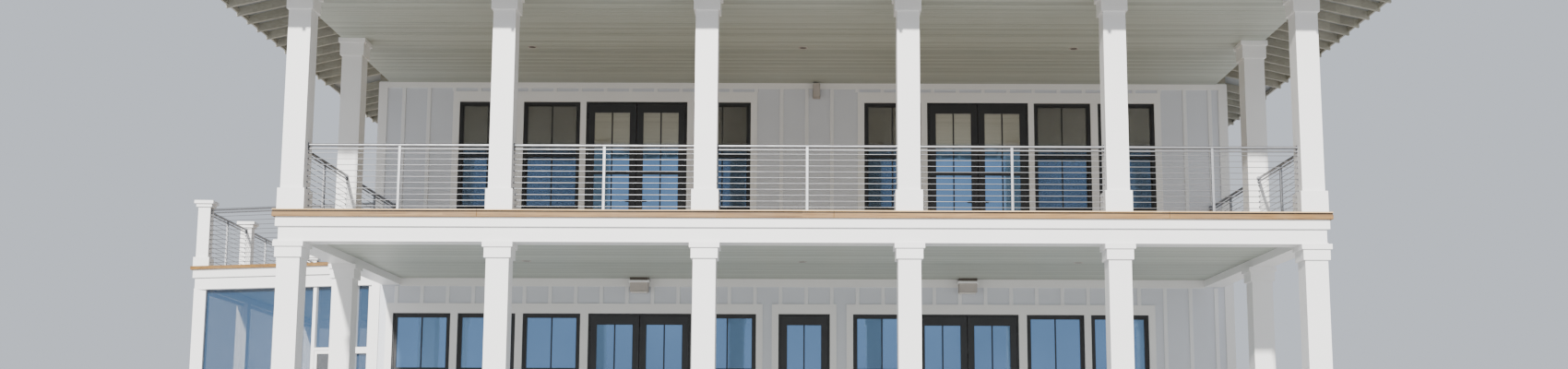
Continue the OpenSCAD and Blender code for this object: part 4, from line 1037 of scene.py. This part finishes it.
def wing_post(k):
    """Middle of a post on the wing's side, counted from its front corner."""
    return WING_CORNER + WING_ALONG * WING_BAY * k


def wing_line(x, out):
    """Y of the wing's front at x, at a distance outside the line of its posts."""
    return (WING_CORNER.y - math.tan(WING_FRONT_TURN) * (x - WING_CORNER.x)
            - out / math.cos(WING_FRONT_TURN))


def wing_outline(out):
    """Corners of the wing in plan, turning left, from the house along the front."""
    c, s = math.cos(WING_SIDE_TURN), math.sin(WING_SIDE_TURN)
    spread_x = out / math.cos(WING_FRONT_TURN + WING_SIDE_TURN)
    front = (WING_CORNER.x - spread_x * (math.cos(WING_FRONT_TURN) - s),
             WING_CORNER.y - spread_x * (c - math.sin(WING_FRONT_TURN)))
    back_y = WING_BACK.y + out
    back = (WING_CORNER.x - (out + s * (back_y - WING_CORNER.y)) / c, back_y)
    return (front, (-HALF, wing_line(-HALF, out)), (-HALF, back_y), back)


dress(laid_boards("wing_deck_boards", wing_outline(WING_DECK_OUT), -WING_FRONT_DEGREES,
                  (WING_DECK - WING_BOARD_LAP, WING_DECK + WING_BOARD_UP),
                  DECK_BOARD, WING_PIECE, 1),
      deck_timber)
ceiling_boards("wing_ceiling_boards", wing_outline(-WING_CEILING_IN), -WING_FRONT_DEGREES,
               LOWER_CEILING)

# Screens of the wing: width of their bars, and half the depth of the upright one, of the
# foot panels and of the wire mesh
BAR_W, UPRIGHT_HALF, PANEL_HALF, SHEET_HALF = 0.06, 0.028, 0.015, 0.002


def wing_screens():
    """Bars, foot panels and wire mesh of the wing's side bays and its back.

    The side bays are open from the foot rail to the head; the back has a post and rail."""
    side_turn = turned(90 + WING_SIDE_DEGREES)
    bays = [(shift(*wing_post(k)) @ side_turn, HALF_POST, WING_BAY - HALF_POST, False)
            for k in range(WING_BAYS)]
    bays.append((shift(*WING_BACK), HALF_POST, -HALF - WING_BACK.x, True))
    top, rail, foot, half_bar = BEAM_FOOT, WING_MIDDLE_RAIL, WING_FOOT_RAIL, BAR_W / 2
    bars, panels, meshes = [], [], []
    for place, a, b, divided in bays:
        middle = (a + b) / 2
        levels = (foot, rail, top - BAR_W) if divided else (foot, top - BAR_W)
        spans = ((a, middle - half_bar), (middle + half_bar, b)) if divided else ((a, b),)
        made = [block("bar", (a, -half_bar, z), (b, half_bar, z + BAR_W)) for z in levels]
        if divided:
            made.append(block("bar", (middle - half_bar, -UPRIGHT_HALF, foot),
                              (middle + half_bar, UPRIGHT_HALF, top)))
        bars += [soften(bar) for bar in made]
        panel = block("panel", (a, -PANEL_HALF, FLOOR), (b, PANEL_HALF, foot))
        shape(panel, "faces", facing("y"), inset(0.09, -0.006, True))
        panels.append(panel)
        sheets = [block("mesh", (x0, -SHEET_HALF, z0 + BAR_W), (x1, SHEET_HALF, z1))
                  for x0, x1 in spans for z0, z1 in zip(levels, levels[1:])]
        for sheet in sheets:
            shape(sheet, "faces", facing("y"), inset(MESH_EDGE))
        meshes += sheets
        for piece in (*made, panel, *sheets):
            piece.data.transform(place)
    return (joined("wing_screen_bars", bars), joined("wing_foot_panels", panels),
            joined("wing_wire_mesh", meshes))


screen_bars, foot_panels, wire_sheets = wing_screens()
dress(screen_bars, trim_paint, stands_for=("wing_screens",))
dress(foot_panels, trim_paint)
dress(wire_sheets, wing_mesh)

# Cable ends and flanges of the wing's rails
front_way = Vector((math.cos(WING_FRONT_TURN), -math.sin(WING_FRONT_TURN), 0))
front_length = WING_W / math.cos(WING_FRONT_TURN) - WING_RAIL_SHORT
wing_runs = [(WING_CORNER + front_way * HALF_POST, WING_CORNER + front_way * front_length)]
for k in range(WING_BAYS):
    wing_runs.append((wing_post(k) + WING_ALONG * HALF_POST,
                      wing_post(k) + WING_ALONG * (WING_BAY - HALF_POST)))
wing_runs.append((WING_BACK + Vector((HALF_POST, 0, 0)),
                  Vector((-HALF - TRIM_T, WING_BACK.y, 0))))
dress_rails("wing_", *rail_ends([(a, b, 0.0, 0.0) for a, b in wing_runs], WING_DECK,
                                (*CABLES, CABLES[-1] + CABLE_PITCH), WING_RAIL_RAISED))

# ---- floor, light and camera ----

FLOOR_SIZE, FLOOR_PLACE, FLOOR_ROUGHNESS = 400, (0, 60, -0.001), 0.9
FLOOR_COLOUR, SKY_COLOUR = (0.50, 0.495, 0.49, 1), (0.84, 0.90, 1.0, 1)
SUN_COLOUR, SKY_STRENGTH, SUN_STRENGTH = (1.0, 0.97, 0.92), 0.8, 9.0
# The sun's width, its turn from straight behind the camera, and its height
SUN_SPREAD, SUN_TURN, SUN_HEIGHT = math.radians(2.5), math.radians(8), math.radians(27)

# The photo's frame in pixels, its focal length, vanishing point and level line
WIDTH, HEIGHT, FOCAL, CENTRE_X, LEVEL_Y = 1700, 400, 1672.0, 870.0, 497.6
LENS_SHIFT, ROLL, SENSOR = 0.04, math.radians(0.18), 36
CAMERA_PLACE, SIGHT = (0, -25.59, 0.459), 500


def place_object(name, data, turn):
    """Puts a light or a camera into the scene, turned as given."""
    holder = bpy.data.objects.new(name, data)
    holder.rotation_mode = "QUATERNION"
    holder.rotation_quaternion = turn
    bpy.context.collection.objects.link(holder)
    return holder


def studio():
    """A plain pale floor, soft light from a pale sky and a sun behind the camera."""
    clear_selection()
    bpy.ops.mesh.primitive_plane_add(size=FLOOR_SIZE, location=FLOOR_PLACE)
    floor = bpy.context.object
    floor.name = "studio_floor"
    pale = bpy.data.materials.new("studio floor")
    pale.use_nodes = True
    finish = pale.node_tree.nodes["Principled BSDF"].inputs
    finish["Base Color"].default_value = FLOOR_COLOUR
    finish["Roughness"].default_value = FLOOR_ROUGHNESS
    floor.data.materials.append(pale)
    world = bpy.data.worlds.new("studio")
    world.use_nodes = True
    sky = world.node_tree.nodes["Background"].inputs
    sky["Color"].default_value = SKY_COLOUR
    sky["Strength"].default_value = SKY_STRENGTH
    bpy.context.scene.world = world
    sun = bpy.data.lights.new("key", "SUN")
    sun.energy, sun.angle, sun.color = SUN_STRENGTH, SUN_SPREAD, SUN_COLOUR
    toward = Vector((math.sin(SUN_TURN), math.cos(SUN_TURN), -math.tan(SUN_HEIGHT)))
    place_object("key", sun, toward.to_track_quat("-Z", "Y"))


def camera():
    """At the photograph's place: low, in front of the middle, tilted up to the deck."""
    seen = bpy.data.cameras.new("camera")
    seen.sensor_width = SENSOR
    seen.lens = SENSOR * FOCAL / WIDTH
    seen.shift_x = (WIDTH / 2 - CENTRE_X) / WIDTH
    seen.shift_y = LENS_SHIFT
    seen.clip_end = SIGHT
    tilt = math.atan((LEVEL_Y - HEIGHT / 2 - LENS_SHIFT * WIDTH) / FOCAL)
    turn = Matrix.Rotation(math.pi / 2 + tilt, 4, "X") @ Matrix.Rotation(ROLL, 4, "Z")
    holder = place_object("camera", seen, turn.to_quaternion())
    holder.location = CAMERA_PLACE
    bpy.context.scene.camera = holder


studio()
camera()
